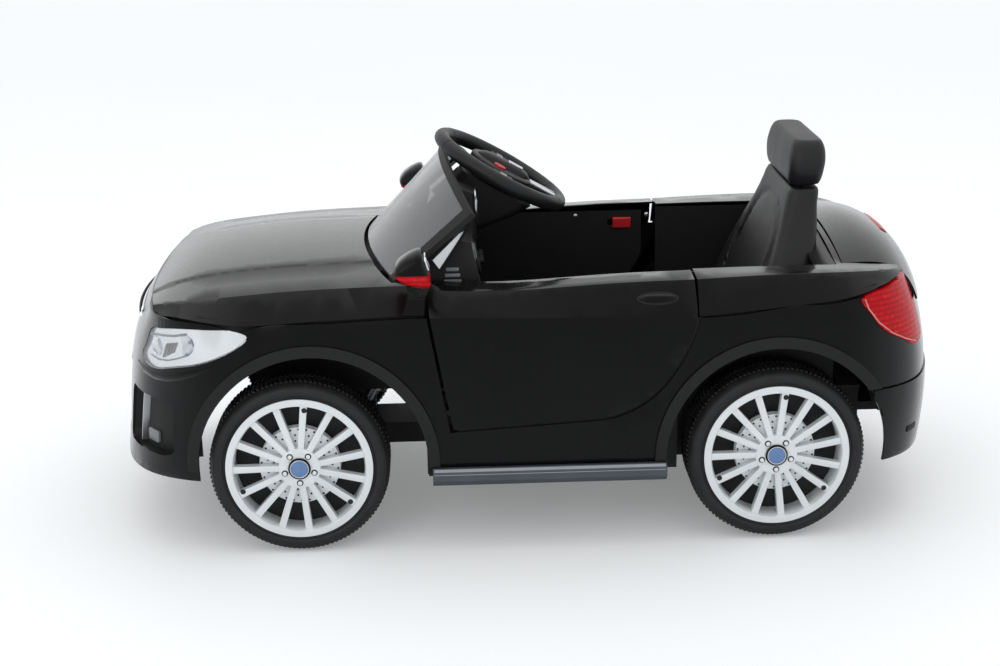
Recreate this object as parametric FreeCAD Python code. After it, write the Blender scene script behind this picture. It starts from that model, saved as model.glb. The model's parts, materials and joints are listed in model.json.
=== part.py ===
import FreeCAD
import Part
import math
import os

# Electric ride-on car for one small child, open top, moulded in plastic round a one-piece floor tub.
# Millimetres. X runs forward, Y to the left side of the car, Z up.
# The origin lies on the ground under the middle of the car.

# Running gear
FRONT_AXLE_X = 305.0
WHEELBASE = 620.0
TYRE_RADIUS = 117.0
TYRE_WIDTH = 72.0
WHEEL_FACE_Y = 262.0
RIM_SEAT_RADIUS = 88.0
TYRE_WALL = 4.5
TYRE_BEAD = 8.0
RIM_FLANGE_RADIUS = 95.0
RIM_WALL = 4.0
RIM_DEPTH = 30.0
WEB_THICK = 4.0
SPOKE_COUNT = 15
SPOKE_WIDTH = 9.0
SPOKE_DEPTH = 10.0
WHEEL_HUB_RADIUS = 27.0
WHEEL_HUB_DEPTH = 62.0
DISC_RADIUS = 53.0
DISC_HOLES = 20
CAP_RADIUS = 14.5
NUT_POCKET_RADIUS = 13.0
NUT_POCKET_DEPTH = 13.0
NUT_RADIUS = 10.0
NUT_HEIGHT = 8.0
LUG_COUNT = 5
LUG_RADIUS = 2.6
LUG_CIRCLE = 20.0
AXLE_RADIUS = 6.0
RUN_FIT = 0.06
SEAT_FIT = 0.3

# Body outline in plan
HALF_WIDTH = 262.0
NOSE_X = 550.0
NOSE_RADIUS = 600.0
FRONT_CORNER = 140.0
TAIL_X = -556.0
TAIL_RADIUS = 520.0
REAR_CORNER = 130.0
WALL = 3.0
SILL_HEIGHT = 100.0
WAIST_HEIGHT = 175.0
LAMP_HEIGHT = 263.0
SEAM = 2.0

# Body height lines, each point a station and a height or an inset and a height
SHOULDER_LINE = ((391.5, 308.0), (350.0, 306.5), (300.0, 309.5), (220.0, 312.5), (140.0, 315.0),
                 (-35.0, 310.0),
                 (-196.0, 305.0), (-270.0, 310.0), (-340.0, 316.0), (-405.0, 324.0))
NOSE_TOP = ((0.0, 45.0, 321.0), (3.9, 44.3, 321.0), (7.7, 42.2, 321.2), (11.6, 38.7, 321.4),
            (15.4, 33.5, 321.5),
            (30.0, 26.0, 320.5), (45.0, 8.0, 318.0), (60.0, 5.0, 316.5),
            (75.0, 5.0, 314.5), (90.0, 5.0, 308.0))
TAIL_TOP = ((90.0, 5.0, 324.0), (108.0, 8.0, 333.0), (126.0, 18.0, 340.0), (143.0, 30.0, 343.0),
            (160.2, 38.0, 343.5), (180.0, 38.0, 343.5))

# Wheel arches
ARCH_FRONT_X = 286.0
ARCH_FRONT_RADIUS = 148.0
ARCH_REAR_X = -315.0
ARCH_REAR_RADIUS = 144.0
ARCH_HEIGHT = 120.0
ARCH_LIP_WIDTH = 15.0
ARCH_LIP_RISE = 4.0
ARCH_LIP_SEAT = 12.0

# Tub and seat
FLOOR_BOTTOM = 88.0
FLOOR_TOP = 92.0
TUB_WALL = 4.0
TUB_HALF = 219.0
TUB_FRONT_X = 140.0
SILL_TOP = 158.0
SEAT_WALL_X = -130.0
TUB_STEP_X = -186.0
TAIL_BOX_HALF = 175.0
TAIL_BOX_X = -440.0
SHELF_Z = 184.0
BULKHEAD_TOP = 290.0
CABIN_HALF = 186.0
CABIN_REAR_X = -400.0
SPINE_HALF = 40.0
SPINE_BOTTOM = 66.0
SPINE_TOP = 96.0
SPINE_FRONT_X = 330.0

# Steering
STEER_X = 30.0
STEER_Z = 450.0
STEER_TILT = 30.0
STEER_RIM_RADIUS = 92.0
STEER_TUBE = 10.0
COLUMN_RADIUS = 6.0
COLUMN_END = 402.0
CRANK_RADIUS = 25.0
CRANK_PIN = 4.0
KINGPIN_Y = 170.0
KINGPIN_RADIUS = 5.0
KNUCKLE_RADIUS = 11.0
KNUCKLE_BOTTOM = 91.0
KNUCKLE_TOP = 139.0
ARM_LENGTH = 40.0
ARM_PIN = 4.0
TIE_BOTTOM = 138.0
TIE_THICK = 5.0

# Doors
DOOR_GAP = 4.0
DOOR_INNER_Y = HALF_WIDTH - 66.0
DOOR_PANEL = 3.5
HINGE_X = 115.0
HINGE_Y = HALF_WIDTH - 3.0
HINGE_PIN = 1.1
HINGE_KNUCKLE = 1.9
HINGE_PIN_LENGTH = 12.0
LUG_HEIGHTS = (180.0, 218.0)
LUG_THICK = 3.0
EAR_LIFT = 3.6
EAR_THICK = 7.0
LATCH_TRAVEL = 12.0

# Drive
GEAR_MODULE = 1.0
GEAR_TEETH = 40
PINION_TEETH = 10
GEAR_FACE = 10.0
GEAR_PRESSURE = 25.0
GEAR_BACKLASH = 0.12
GEAR_Y = 140.0
MOTOR_RADIUS = 14.0
MOTOR_LENGTH = 45.0
MOTOR_SHAFT = 1.5
CASE_WALL = 2.5

REAR_AXLE_X = FRONT_AXLE_X - WHEELBASE
AXLE_Z = TYRE_RADIUS
V = FreeCAD.Vector
ORIGIN = V(0, 0, 0)
X_DIR = V(1, 0, 0)
Y_DIR = V(0, 1, 0)
Z_DIR = V(0, 0, 1)


def line(a, b):
    return Part.LineSegment(a, b).toShape()


def edge_through(points):
    if len(points) == 2:
        return line(points[0], points[1])
    curve = Part.BSplineCurve()
    curve.interpolate(points)
    return curve.toShape()


def closed_face(points):
    curve = Part.BSplineCurve()
    curve.interpolate(Points=points, PeriodicFlag=True)
    return Part.Face(Part.Wire([curve.toShape()]))


def polygon_face(points):
    return Part.Face(Part.makePolygon(list(points) + [points[0]]))


def box(x0, x1, y0, y1, z0, z1):
    return Part.makeBox(x1 - x0, y1 - y0, z1 - z0, V(x0, y0, z0))


def rod(radius, start, end):
    return Part.makeCylinder(radius, (end - start).Length, start, end - start)


def mirrored(shape):
    return shape.mirror(ORIGIN, Y_DIR)


def both_sides(shape):
    return Part.makeCompound([shape, mirrored(shape)])


def joined(shapes):
    result = shapes[0].fuse(shapes[1:])
    return result.removeSplitter()


def largest(shape):
    return max(shape.Solids, key=lambda solid: solid.Volume)


def interpolated(table, at, column):
    rows = sorted(table)
    if at <= rows[0][0]:
        return rows[0][column]
    for low, high in zip(rows, rows[1:]):
        if at <= high[0]:
            share = (at - low[0]) / (high[0] - low[0])
            return low[column] + share * (high[column] - low[column])
    return rows[-1][column]


def strip_wire(outer, inner):
    edges = [edge_through(group) for group in outer]
    edges.append(line(outer[-1][-1], inner[-1][-1]))
    edges += [edge_through(list(reversed(group))) for group in reversed(inner)]
    edges.append(line(inner[0][0], outer[0][0]))
    return Part.Wire(edges)


def loft(wires):
    return Part.makeLoft(wires, True, False)


def shoulder(x):
    return interpolated(SHOULDER_LINE, x, 1)


# Side wall of the body, one upright section per station round the plan outline
NOSE_CENTRE = NOSE_X - NOSE_RADIUS
FRONT_CORNER_Y = HALF_WIDTH - FRONT_CORNER
FRONT_CORNER_X = NOSE_CENTRE + math.sqrt((NOSE_RADIUS - FRONT_CORNER) ** 2 - FRONT_CORNER_Y ** 2)
NOSE_END = math.degrees(math.atan2(FRONT_CORNER_Y, FRONT_CORNER_X - NOSE_CENTRE))
TAIL_CENTRE = TAIL_X + TAIL_RADIUS
REAR_CORNER_Y = HALF_WIDTH - REAR_CORNER
REAR_CORNER_X = TAIL_CENTRE - math.sqrt((TAIL_RADIUS - REAR_CORNER) ** 2 - REAR_CORNER_Y ** 2)
TAIL_END = 180.0 - math.degrees(math.atan2(REAR_CORNER_Y, TAIL_CENTRE - REAR_CORNER_X))


def arc_station(centre_x, centre_y, radius, angle):
    c = math.cos(math.radians(angle))
    s = math.sin(math.radians(angle))
    ends = c * c
    if angle < 90.0:
        top = (interpolated(NOSE_TOP, angle, 1), interpolated(NOSE_TOP, angle, 2))
        profile = ((6.0 - 14.0 * ends, SILL_HEIGHT), (0.0, WAIST_HEIGHT), (1.0 + 14.0 * ends, LAMP_HEIGHT),
                   top)
    else:
        top = (interpolated(TAIL_TOP, angle, 1), interpolated(TAIL_TOP, angle, 2))
        profile = ((6.0, SILL_HEIGHT), (0.0, WAIST_HEIGHT + 10.0 * ends), (1.0 + 8.0 * ends, LAMP_HEIGHT),
                   top)
    return (centre_x + radius * c, centre_y + radius * s, c, s, profile)


def side_station(x):
    profile = ((6.0, SILL_HEIGHT), (0.0, WAIST_HEIGHT), (1.0, LAMP_HEIGHT), (5.0, shoulder(x)))
    return (x, HALF_WIDTH, 0.0, 1.0, profile)


def opposite(station):
    x, y, nx, ny, profile = station
    return (x, -y, nx, -ny, profile)


def wall_loft(stations, proud, thick):
    wires = []
    for x, y, nx, ny, profile in stations:
        outer = [V(x - (o - proud) * nx, y - (o - proud) * ny, z) for o, z in profile]
        inner = [V(x - (o - proud + thick) * nx, y - (o - proud + thick) * ny, z) for o, z in profile]
        wires.append(strip_wire([outer], [inner]))
    return loft(wires)


CAP_STEP = 38.0
FRONT_CAP_X = FRONT_CORNER_X - CAP_STEP
REAR_CAP_X = REAR_CORNER_X + CAP_STEP
SIDE_SPANS = 9


def stepped(start, end, spans):
    return [start + (end - start) * number / spans for number in range(spans + 1)]


FRONT_LEFT = [arc_station(NOSE_CENTRE, 0.0, NOSE_RADIUS, angle) for angle in stepped(0.0, NOSE_END, 3)[1:]]
FRONT_LEFT += [arc_station(FRONT_CORNER_X, FRONT_CORNER_Y, FRONT_CORNER, angle)
               for angle in stepped(NOSE_END, 89.99, 4)[1:]]
FRONT_LEFT.append(side_station(FRONT_CAP_X))
REAR_LEFT = [side_station(REAR_CAP_X)]
REAR_LEFT += [arc_station(REAR_CORNER_X, REAR_CORNER_Y, REAR_CORNER, angle)
              for angle in stepped(90.01, TAIL_END, 4)]
REAR_LEFT += [arc_station(TAIL_CENTRE, 0.0, TAIL_RADIUS, angle)
              for angle in stepped(TAIL_END, 180.0, 3)[1:-1]]


def front_cap(proud, thick):
    right = [opposite(station) for station in reversed(FRONT_LEFT)]
    return wall_loft(right + [arc_station(NOSE_CENTRE, 0.0, NOSE_RADIUS, 0.0)] + FRONT_LEFT, proud, thick)


def rear_cap(proud, thick):
    right = [opposite(station) for station in reversed(REAR_LEFT)]
    return wall_loft(REAR_LEFT + [arc_station(TAIL_CENTRE, 0.0, TAIL_RADIUS, 180.0)] + right, proud, thick)


def body_wall(proud, thick):
    side = wall_loft([side_station(x) for x in stepped(FRONT_CAP_X, REAR_CAP_X, SIDE_SPANS)], proud, thick)
    return joined([front_cap(proud, thick), side, rear_cap(proud, thick), mirrored(side)])


# Outlines seen from the side
DOOR_REAR = ((-80.0, 174.0), (-129.0, 188.0), (-160.0, 211.0), (-187.0, 248.0), (-204.0, 282.0),
             (-211.0, 315.0))
DOOR_TOP = 372.0
DOOR_MIDDLE = (-20.0, 330.0)
HEADLIGHT = ((483.0, 299.0), (445.0, 305.0), (401.0, 305.0), (371.0, 302.0), (363.0, 296.0), (372.0, 285.0),
             (396.0, 272.0), (430.0, 260.0), (466.0, 251.0), (496.0, 246.0), (507.0, 252.0), (501.0, 268.0),
             (494.0, 285.0))
TAIL_LAMP = ((-419.0, 326.0), (-446.0, 337.0), (-484.0, 339.0), (-516.0, 330.0), (-528.0, 296.0),
             (-524.0, 258.0),
             (-506.0, 249.0), (-486.0, 260.0), (-463.0, 273.0), (-441.0, 291.0), (-425.0, 312.0))


def grown(points, distance):
    middle_x = sum(p[0] for p in points) / len(points)
    middle_z = sum(p[1] for p in points) / len(points)
    result = []
    for x, z in points:
        reach = math.hypot(x - middle_x, z - middle_z)
        scale = (reach + distance) / reach
        result.append((middle_x + (x - middle_x) * scale, middle_z + (z - middle_z) * scale))
    return result


def side_prism(points, distance, y0, y1):
    face = closed_face([V(x, y0, z) for x, z in grown(points, distance)])
    return face.extrude(V(0, y1 - y0, 0))


def door_prism(gap, y0, y1):
    rear = []
    for x, z in DOOR_REAR:
        toward = V(DOOR_MIDDLE[0] - x, 0, DOOR_MIDDLE[1] - z).normalize() * gap
        rear.append(V(x + toward.x, y0, z + toward.z))
    top_rear = V(rear[-1].x + 3.0, y0, DOOR_TOP)
    top_front = V(140.0 - gap, y0, DOOR_TOP)
    front = V(134.0 - gap, y0, 314.0)
    low = V(107.0 - gap, y0, 163.0 + gap)
    edges = [line(top_front, front), line(front, low), line(low, rear[0]), edge_through(rear)]
    edges += [line(rear[-1], top_rear), line(top_rear, top_front)]
    return Part.Face(Part.Wire(edges)).extrude(V(0, y1 - y0, 0))


# Lid over the tail: one crowned section carried along the centre profile
LID_HALF = 176.0
LID_FRONT_X = -410.0
LID_LOW = 300.0
LID_CROWN = 24.0
LID_PROFILE = ((-400.0, 375.0, 0.0), (-440.0, 376.5, 4.0), (-475.0, 372.5, 16.0), (-502.0, 359.0, 40.0),
               (-521.0, 338.0, 60.0), (-533.0, 314.0, 72.0), (-540.5, 288.0, 76.0))


def lid_loft():
    wires = []
    for x, z, lean in LID_PROFILE:
        up = V(-math.sin(math.radians(lean)), 0, math.cos(math.radians(lean)))
        outer = []
        inner = []
        for share in (-1.0, -0.5, 0.0, 0.5, 1.0):
            drop = up * (-LID_CROWN * share * share)
            point = V(x, share * LID_HALF, z) + drop
            outer.append(point)
            inner.append(point - up * WALL)
        wires.append(strip_wire([outer], [inner]))
    return loft(wires)


# Body shell, with a seat round each wheel arch for the arch trim
ARCHES = ((ARCH_FRONT_X, ARCH_FRONT_RADIUS), (ARCH_REAR_X, ARCH_REAR_RADIUS))
ARCH_FOOT = ARCH_HEIGHT - 40.0
TRIM_FOOT = SILL_HEIGHT + 14.0
BUMPER_TOP = 204.0
BUMPER_FRONT_X = -450.0
bumper_room = box(-600.0, BUMPER_FRONT_X + 60.0, -330.0, 330.0, 60.0, BUMPER_TOP)


def arch_opening(arch_x, radius, foot):
    ring = Part.makeCylinder(radius, 700.0, V(arch_x, -350.0, ARCH_HEIGHT), Y_DIR)
    legs = box(arch_x - radius, arch_x + radius, -350.0, 350.0, ARCH_FOOT, ARCH_HEIGHT)
    return ring.fuse(legs).common(box(arch_x - 250.0, arch_x + 250.0, -350.0, 350.0, foot, 400.0))


body_shell = body_wall(0.0, WALL)
trim_wall = body_wall(ARCH_LIP_RISE, ARCH_LIP_RISE + WALL)
trim_room = body_wall(0.1, WALL + 2.0)
cutters = []
trims = []
left_side = box(-700.0, 700.0, 150.0, 350.0, 0.0, 420.0)
for arch_x, arch_radius in ARCHES:
    opening = arch_opening(arch_x, arch_radius, ARCH_FOOT)
    seat_cut = arch_opening(arch_x, arch_radius + ARCH_LIP_SEAT, TRIM_FOOT)
    cutters += [opening, seat_cut]
    outer = arch_opening(arch_x, arch_radius + ARCH_LIP_WIDTH, TRIM_FOOT + 0.2)
    inside_seat = arch_opening(arch_x, arch_radius + ARCH_LIP_SEAT - 0.2, TRIM_FOOT)
    trim = trim_wall.common(outer).common(left_side)
    trims.append(largest(trim.cut([opening, bumper_room]).cut(trim_room.cut(inside_seat))))
arch_trims = Part.makeCompound(trims + [mirrored(trim) for trim in trims])
door_hole = door_prism(-DOOR_GAP / 2.0, 150.0, 330.0)
headlight_hole = side_prism(HEADLIGHT, 1.0, 90.0, 330.0)
tail_lamp_hole = side_prism(TAIL_LAMP, 1.0, 178.0, 330.0)
for cutter in (door_hole, headlight_hole, tail_lamp_hole):
    cutters += [cutter, mirrored(cutter)]
cutters.append(bumper_room)
cutters.append(box(-600.0, LID_FRONT_X, -LID_HALF - SEAM, LID_HALF + SEAM, LID_LOW - SEAM, 420.0))
GRILLE_HALF = 96.0
GRILLE_LOW = 214.0
GRILLE_HIGH = 292.0
INTAKE_HALF = 128.0
INTAKE_LOW = 122.0
INTAKE_HIGH = 172.0
SCOOP_Y = 196.0
SCOOP_HALF = 46.0
SCOOP_LOW = 130.0
SCOOP_HIGH = 206.0
SCOOP_CORNER = 12.0
INTAKE_CORNER = 12.0
TRAY_DEPTH = 17.0
TRAY_WALL = 2.0


def front_prism(half, low, high, corner, middle_y):
    block = box(430.0, 620.0, middle_y - half, middle_y + half, low, high)
    return block.makeFillet(corner, [e for e in block.Edges if abs(e.tangentAt(e.FirstParameter).x) > 0.9])


cutters.append(front_prism(GRILLE_HALF, GRILLE_LOW, GRILLE_HIGH, 16.0, 0.0))
cutters.append(front_prism(INTAKE_HALF, INTAKE_LOW, INTAKE_HIGH, INTAKE_CORNER, 0.0))
for side in (1.0, -1.0):
    cutters.append(front_prism(SCOOP_HALF, SCOOP_LOW, SCOOP_HIGH, SCOOP_CORNER, side * SCOOP_Y))
body_shell = body_shell.cut(cutters)
rocker = box(-165.0, 120.0, TUB_HALF + SEAT_FIT, HALF_WIDTH - 7.0, SILL_HEIGHT + 2.0, SILL_HEIGHT + 5.0)
LUG_FRONT_X = 136.0
LUG_INNER_Y = HALF_WIDTH - 22.0
lugs = []
hinge_rooms = []
for z in LUG_HEIGHTS:
    lug = box(HINGE_X - 1.5, LUG_FRONT_X, LUG_INNER_Y, HINGE_Y - 0.5, z, z + LUG_THICK)
    lug = lug.fuse(box(LUG_FRONT_X - 12.0, LUG_FRONT_X, LUG_INNER_Y, HALF_WIDTH - 1.5, z, z + LUG_THICK))
    lug = lug.fuse(Part.makeCylinder(HINGE_KNUCKLE, LUG_THICK, V(HINGE_X, HINGE_Y, z), Z_DIR))
    pin_foot = V(HINGE_X, HINGE_Y, z + LUG_THICK - 1.0)
    lugs.append(lug.fuse(Part.makeCylinder(HINGE_PIN, HINGE_PIN_LENGTH, pin_foot, Z_DIR)))
    room_height = LUG_THICK + HINGE_PIN_LENGTH
    hinge_rooms.append(Part.makeCylinder(HINGE_KNUCKLE + SEAT_FIT, room_height, V(HINGE_X, HINGE_Y, z - 0.5),
                                         Z_DIR))
body_shell = body_shell.cut(hinge_rooms + [mirrored(room) for room in hinge_rooms])
brackets = [rocker] + lugs
body_shell = largest(body_shell.fuse(brackets + [mirrored(b) for b in brackets]).removeSplitter())

# Rear bumper
bumper_wall = rear_cap(2.0, WALL + 2.0)
bumper_zone = box(-600.0, BUMPER_FRONT_X + 10.0, -330.0, 330.0, 60.0, BUMPER_TOP - SEAM)
rear_bumper = bumper_wall.common(bumper_zone)
rear_bumper = rear_bumper.cut(Part.makeCylinder(ARCH_REAR_RADIUS, 700.0,
                                                V(ARCH_REAR_X, -350.0, ARCH_HEIGHT), Y_DIR))
BUMPER_RIB_X = -500.0
rear_bumper = largest(rear_bumper.fuse(box(-554.0, BUMPER_RIB_X, -60.0, 60.0, 118.0,
                                           130.0)).removeSplitter())

# Hood with its side bands
HOOD_STATIONS = ((506.0, 190.0, 316.0, 196.0, 312.0, 319.0), (464.0, 212.0, 330.0, 231.5, 318.5, 338.5),
                 (422.0, 221.0, 335.5, 251.5, 316.0, 348.5), (380.0, 222.5, 339.5, 255.0, 310.5, 354.0),
                 (338.0, 223.5, 343.0, 255.0, 310.0, 357.5), (296.0, 224.0, 345.5, 255.0, 312.5, 359.5),
                 (254.0, 224.0, 347.0, 255.0, 314.3, 360.5), (212.0, 224.5, 348.0, 255.0, 315.8, 361.3),
                 (170.0, 225.0, 348.7, 255.0, 317.0, 361.3), (128.0, 226.0, 349.0, 255.0, 318.0, 361.0))
HOOD_CREASE_Y = 128.0
HOOD_CREASE = 2.5
HOOD_FRONT_X = 503.0
HOOD_FRONT_BOW = 37.0
HOOD_REAR_X = 138.0
SCREEN_BASE_X = 215.0
SCREEN_BASE_BOW = 41.0
SCREEN_BASE_HALF = 205.0


def hood_loft():
    wires = []
    for x, edge_y, edge_z, seam_y, seam_z, middle in HOOD_STATIONS:
        share = (HOOD_CREASE_Y / edge_y) ** 2
        at_crease = middle - (middle - edge_z - HOOD_CREASE) * share
        half = [(seam_y, seam_z), (edge_y, edge_z), (HOOD_CREASE_Y + 8.0, at_crease - HOOD_CREASE)]
        half.append((HOOD_CREASE_Y, at_crease))
        under = [(seam_y - WALL, seam_z), (edge_y - 1.5, edge_z - WALL)]
        under += [(y, z - WALL) for y, z in half[2:]]
        groups = []
        for points, top in ((half, middle), (under, middle - WALL)):
            left = [V(x, y, z) for y, z in points]
            right = [V(x, -y, z) for y, z in points]
            run = [[left[i], left[i + 1]] for i in range(3)]
            run.append([left[3], V(x, 0, top), right[3]])
            run += [[right[i + 1], right[i]] for i in (2, 1, 0)]
            groups.append(run)
        wires.append(strip_wire(groups[0], groups[1]))
    return loft(wires)


def arc_edge(a, middle, b):
    return Part.Arc(a, middle, b).toShape()


rear_arc_x = SCREEN_BASE_X - SCREEN_BASE_BOW + 6.0
rear_arc_y = SCREEN_BASE_HALF + 7.0
hood_plan = Part.Wire([
    arc_edge(V(HOOD_FRONT_X - HOOD_FRONT_BOW, -300, 250), V(HOOD_FRONT_X, 0, 250),
             V(HOOD_FRONT_X - HOOD_FRONT_BOW, 300, 250)),
    line(V(HOOD_FRONT_X - HOOD_FRONT_BOW, 300, 250), V(HOOD_REAR_X, 300, 250)),
    line(V(HOOD_REAR_X, 300, 250), V(HOOD_REAR_X, rear_arc_y, 250)),
    line(V(HOOD_REAR_X, rear_arc_y, 250), V(rear_arc_x, rear_arc_y, 250)),
    arc_edge(V(rear_arc_x, rear_arc_y, 250), V(SCREEN_BASE_X + 6.0, 0, 250),
             V(rear_arc_x, -rear_arc_y, 250)),
    line(V(rear_arc_x, -rear_arc_y, 250), V(HOOD_REAR_X, -rear_arc_y, 250)),
    line(V(HOOD_REAR_X, -rear_arc_y, 250), V(HOOD_REAR_X, -300, 250)),
    line(V(HOOD_REAR_X, -300, 250), V(HOOD_FRONT_X - HOOD_FRONT_BOW, -300, 250))])
TRAY_TOP = 341.0
hood = hood_loft().common(Part.Face(hood_plan).extrude(V(0, 0, 200))).cut(front_cap(1.0, WALL + 2.5))
hood = largest(hood)
hood_posts = [Part.makeCylinder(5.0, 13.0, V(219.0, side * 130.0, TRAY_TOP + SEAT_FIT),
                                Z_DIR) for side in (1, -1)]
hood = largest(hood.fuse(hood_posts).removeSplitter())

# Rear deck round the cabin and the lid
DECK_STATIONS = ((-206.0, 256.6, 307.3, 231.0, 349.5, 352.0), (-252.0, 256.6, 311.0, 231.0, 351.5, 352.4),
                 (-298.0, 256.6, 315.0, 231.0, 353.0, 352.6), (-344.0, 256.6, 319.5, 231.0, 354.0, 352.5),
                 (-390.0, 256.3, 325.0, 229.5, 354.0, 352.3), (-436.0, 247.0, 335.0, 221.0, 352.3, 351.3),
                 (-482.0, 198.0, 345.0, 190.0, 347.0, 347.8))
DECK_INNER_Y = 178.0
DECK_CROWN = 21.0


def deck_loft():
    wires = []
    for x, seam_y, seam_z, edge_y, edge_z, inner_z in DECK_STATIONS:
        half = [(seam_y, seam_z), (edge_y, edge_z), (DECK_INNER_Y, inner_z)]
        under = [(seam_y - WALL, seam_z), (edge_y - 2.0, edge_z - WALL), (DECK_INNER_Y, inner_z - WALL)]
        groups = []
        for points, middle in ((half, inner_z + DECK_CROWN), (under, inner_z + DECK_CROWN - WALL)):
            left = [V(x, y, z) for y, z in points]
            right = [V(x, -y, z) for y, z in points]
            run = [[left[0], left[1]], [left[1], left[2]], [left[2], V(x, 0, middle), right[2]]]
            run += [[right[2], right[1]], [right[1], right[0]]]
            groups.append(run)
        wires.append(strip_wire(groups[0], groups[1]))
    return loft(wires)


rear_deck = deck_loft().cut([box(CABIN_REAR_X, 0.0, -CABIN_HALF, CABIN_HALF, 200.0, 420.0),
                             box(-600.0, LID_FRONT_X + SEAM, -LID_HALF - SEAM, LID_HALF + SEAM, 200.0,
                                 420.0),
                             box(-209.0 - DOOR_GAP / 2.0, 0.0, -300.0, 300.0, 200.0, 420.0),
                             tail_lamp_hole, mirrored(tail_lamp_hole), body_wall(1.0, WALL + 2.5)])
rear_deck = largest(rear_deck)
lid_zone = box(-600.0, LID_FRONT_X, -LID_HALF, LID_HALF, LID_LOW, 420.0)
trunk_lid = lid_loft().common(lid_zone)
LID_POST_TOP = 371.6
LID_POST_X = -425.0
LID_POST_Y = 60.0
lid_post = rod(6.0, V(LID_POST_X, LID_POST_Y, SHELF_Z), V(LID_POST_X, LID_POST_Y, LID_POST_TOP))
trunk_lid = largest(joined([trunk_lid, lid_post, mirrored(lid_post)]))

# Lamps
LENS_THICK = 3.0
lens_left = largest(front_cap(0.8, LENS_THICK).common(side_prism(HEADLIGHT, 0.0, 90.0, 330.0)))
bowl = front_cap(-4.0, 20.0).common(side_prism(HEADLIGHT, 0.0, 90.0, 330.0))
for x, y, z, radius in ((478.0, 205.0, 274.0, 17.0), (432.0, 232.0, 284.0, 15.0)):
    aim = V(0.66, 0.75, 0.0)
    bowl = bowl.cut(Part.makeCone(radius * 0.45, radius, 22.0, V(x, y, z) - aim * 4.0, aim))
reflector_left = largest(bowl)
tail_lamp_left = largest(rear_cap(1.5, 9.0).common(side_prism(TAIL_LAMP, 0.0, 178.5, 330.0)))

# Grille in the nose, a frame with upright bars
grille_block = front_prism(GRILLE_HALF - 1.0, GRILLE_LOW + 1.0, GRILLE_HIGH - 1.0, 15.0, 0.0)
grille_rim = grille_block.cut(front_prism(GRILLE_HALF - 7.0, GRILLE_LOW + 7.0, GRILLE_HIGH - 7.0, 10.0,
                                          0.0))
grille_nose = front_cap(1.5, 12.0)
grille_parts = [grille_nose.common(grille_rim)]
bar_wall = front_cap(-2.0, 7.0)
for number in range(-5, 6):
    bar = box(430.0, 620.0, number * 15.5 - 2.0, number * 15.5 + 2.0, GRILLE_LOW + 4.0, GRILLE_HIGH - 4.0)
    grille_parts.append(bar_wall.common(bar))
grille = largest(joined(grille_parts))

# Trays that close the lower intake and the two side scoops of the nose
tray_walls = front_cap(-WALL - 0.1, TRAY_DEPTH - WALL)
tray_back = front_cap(TRAY_WALL - TRAY_DEPTH, TRAY_WALL)


def nose_tray(half, low, high, corner, middle_y):
    outer = front_prism(half + 1.0 + TRAY_WALL, low - 1.0 - TRAY_WALL, high + 1.0 + TRAY_WALL, corner + 3.0,
                        middle_y)
    inner = front_prism(half + 1.0, low - 1.0, high + 1.0, corner + 1.0, middle_y)
    return largest(joined([tray_walls.common(outer.cut(inner)), tray_back.common(outer)]))


scoop_tray = nose_tray(SCOOP_HALF, SCOOP_LOW, SCOOP_HIGH, SCOOP_CORNER, SCOOP_Y)
intake_tray = nose_tray(INTAKE_HALF, INTAKE_LOW, INTAKE_HIGH, INTAKE_CORNER, 0.0)
nose_trays = Part.makeCompound([intake_tray, scoop_tray, mirrored(scoop_tray)])

# Windscreen: sections across the car, each a sloped strip between base and top edge
SCREEN_BASE_Z = 361.0
SCREEN_BASE_DROP = 14.0
SCREEN_TOP_X = 105.0
SCREEN_TOP_BOW = 33.0
SCREEN_TOP_Z = 480.0
SCREEN_TOP_DROP = 46.0
SCREEN_THICK = 2.5
FRAME_SIDE_Y = 190.0
FRAME_SHARE = 0.935


def screen_strip(stations, low, high, inside, outside):
    wires = []
    for y in stations:
        share = (y / SCREEN_BASE_HALF) ** 2
        base = V(SCREEN_BASE_X - SCREEN_BASE_BOW * share, y, SCREEN_BASE_Z - SCREEN_BASE_DROP * share)
        top = V(SCREEN_TOP_X - SCREEN_TOP_BOW * share, y, SCREEN_TOP_Z - SCREEN_TOP_DROP * share)
        rise = top - base
        out = V(rise.z, 0, -rise.x).normalize()
        a = base + rise * low
        b = base + rise * high
        corners = [a + out * outside, b + out * outside, b - out * inside, a - out * inside]
        wires.append(Part.makePolygon(corners + [corners[0]]))
    return loft(wires)


ACROSS = [FRAME_SIDE_Y * share for share in (-1.0, -0.75, -0.5, -0.25, 0.0, 0.25, 0.5, 0.75, 1.0)]
GLASS_ACROSS = [y * (FRAME_SIDE_Y - 0.4) / FRAME_SIDE_Y for y in ACROSS]
SIDE_ACROSS = (FRAME_SIDE_Y, (FRAME_SIDE_Y + SCREEN_BASE_HALF) / 2.0, SCREEN_BASE_HALF)
windshield = screen_strip(GLASS_ACROSS, 0.015, FRAME_SHARE - 0.003, 0.0, SCREEN_THICK)
frame_top = screen_strip(ACROSS, FRAME_SHARE, 1.0, 2.5, 4.5)
frame_left = screen_strip(SIDE_ACROSS, 0.0, 1.0, 2.5, 4.5)
frame_sill = screen_strip(ACROSS, 0.0, 0.06, 5.0, -0.4)
frame_pegs = [Part.makeCylinder(5.0, 9.0, V(190.0, side * 150.0, TRAY_TOP + SEAT_FIT),
                                Z_DIR) for side in (1, -1)]
windshield_frame = largest(joined([frame_top, frame_left, mirrored(frame_left), frame_sill] + frame_pegs))

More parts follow.
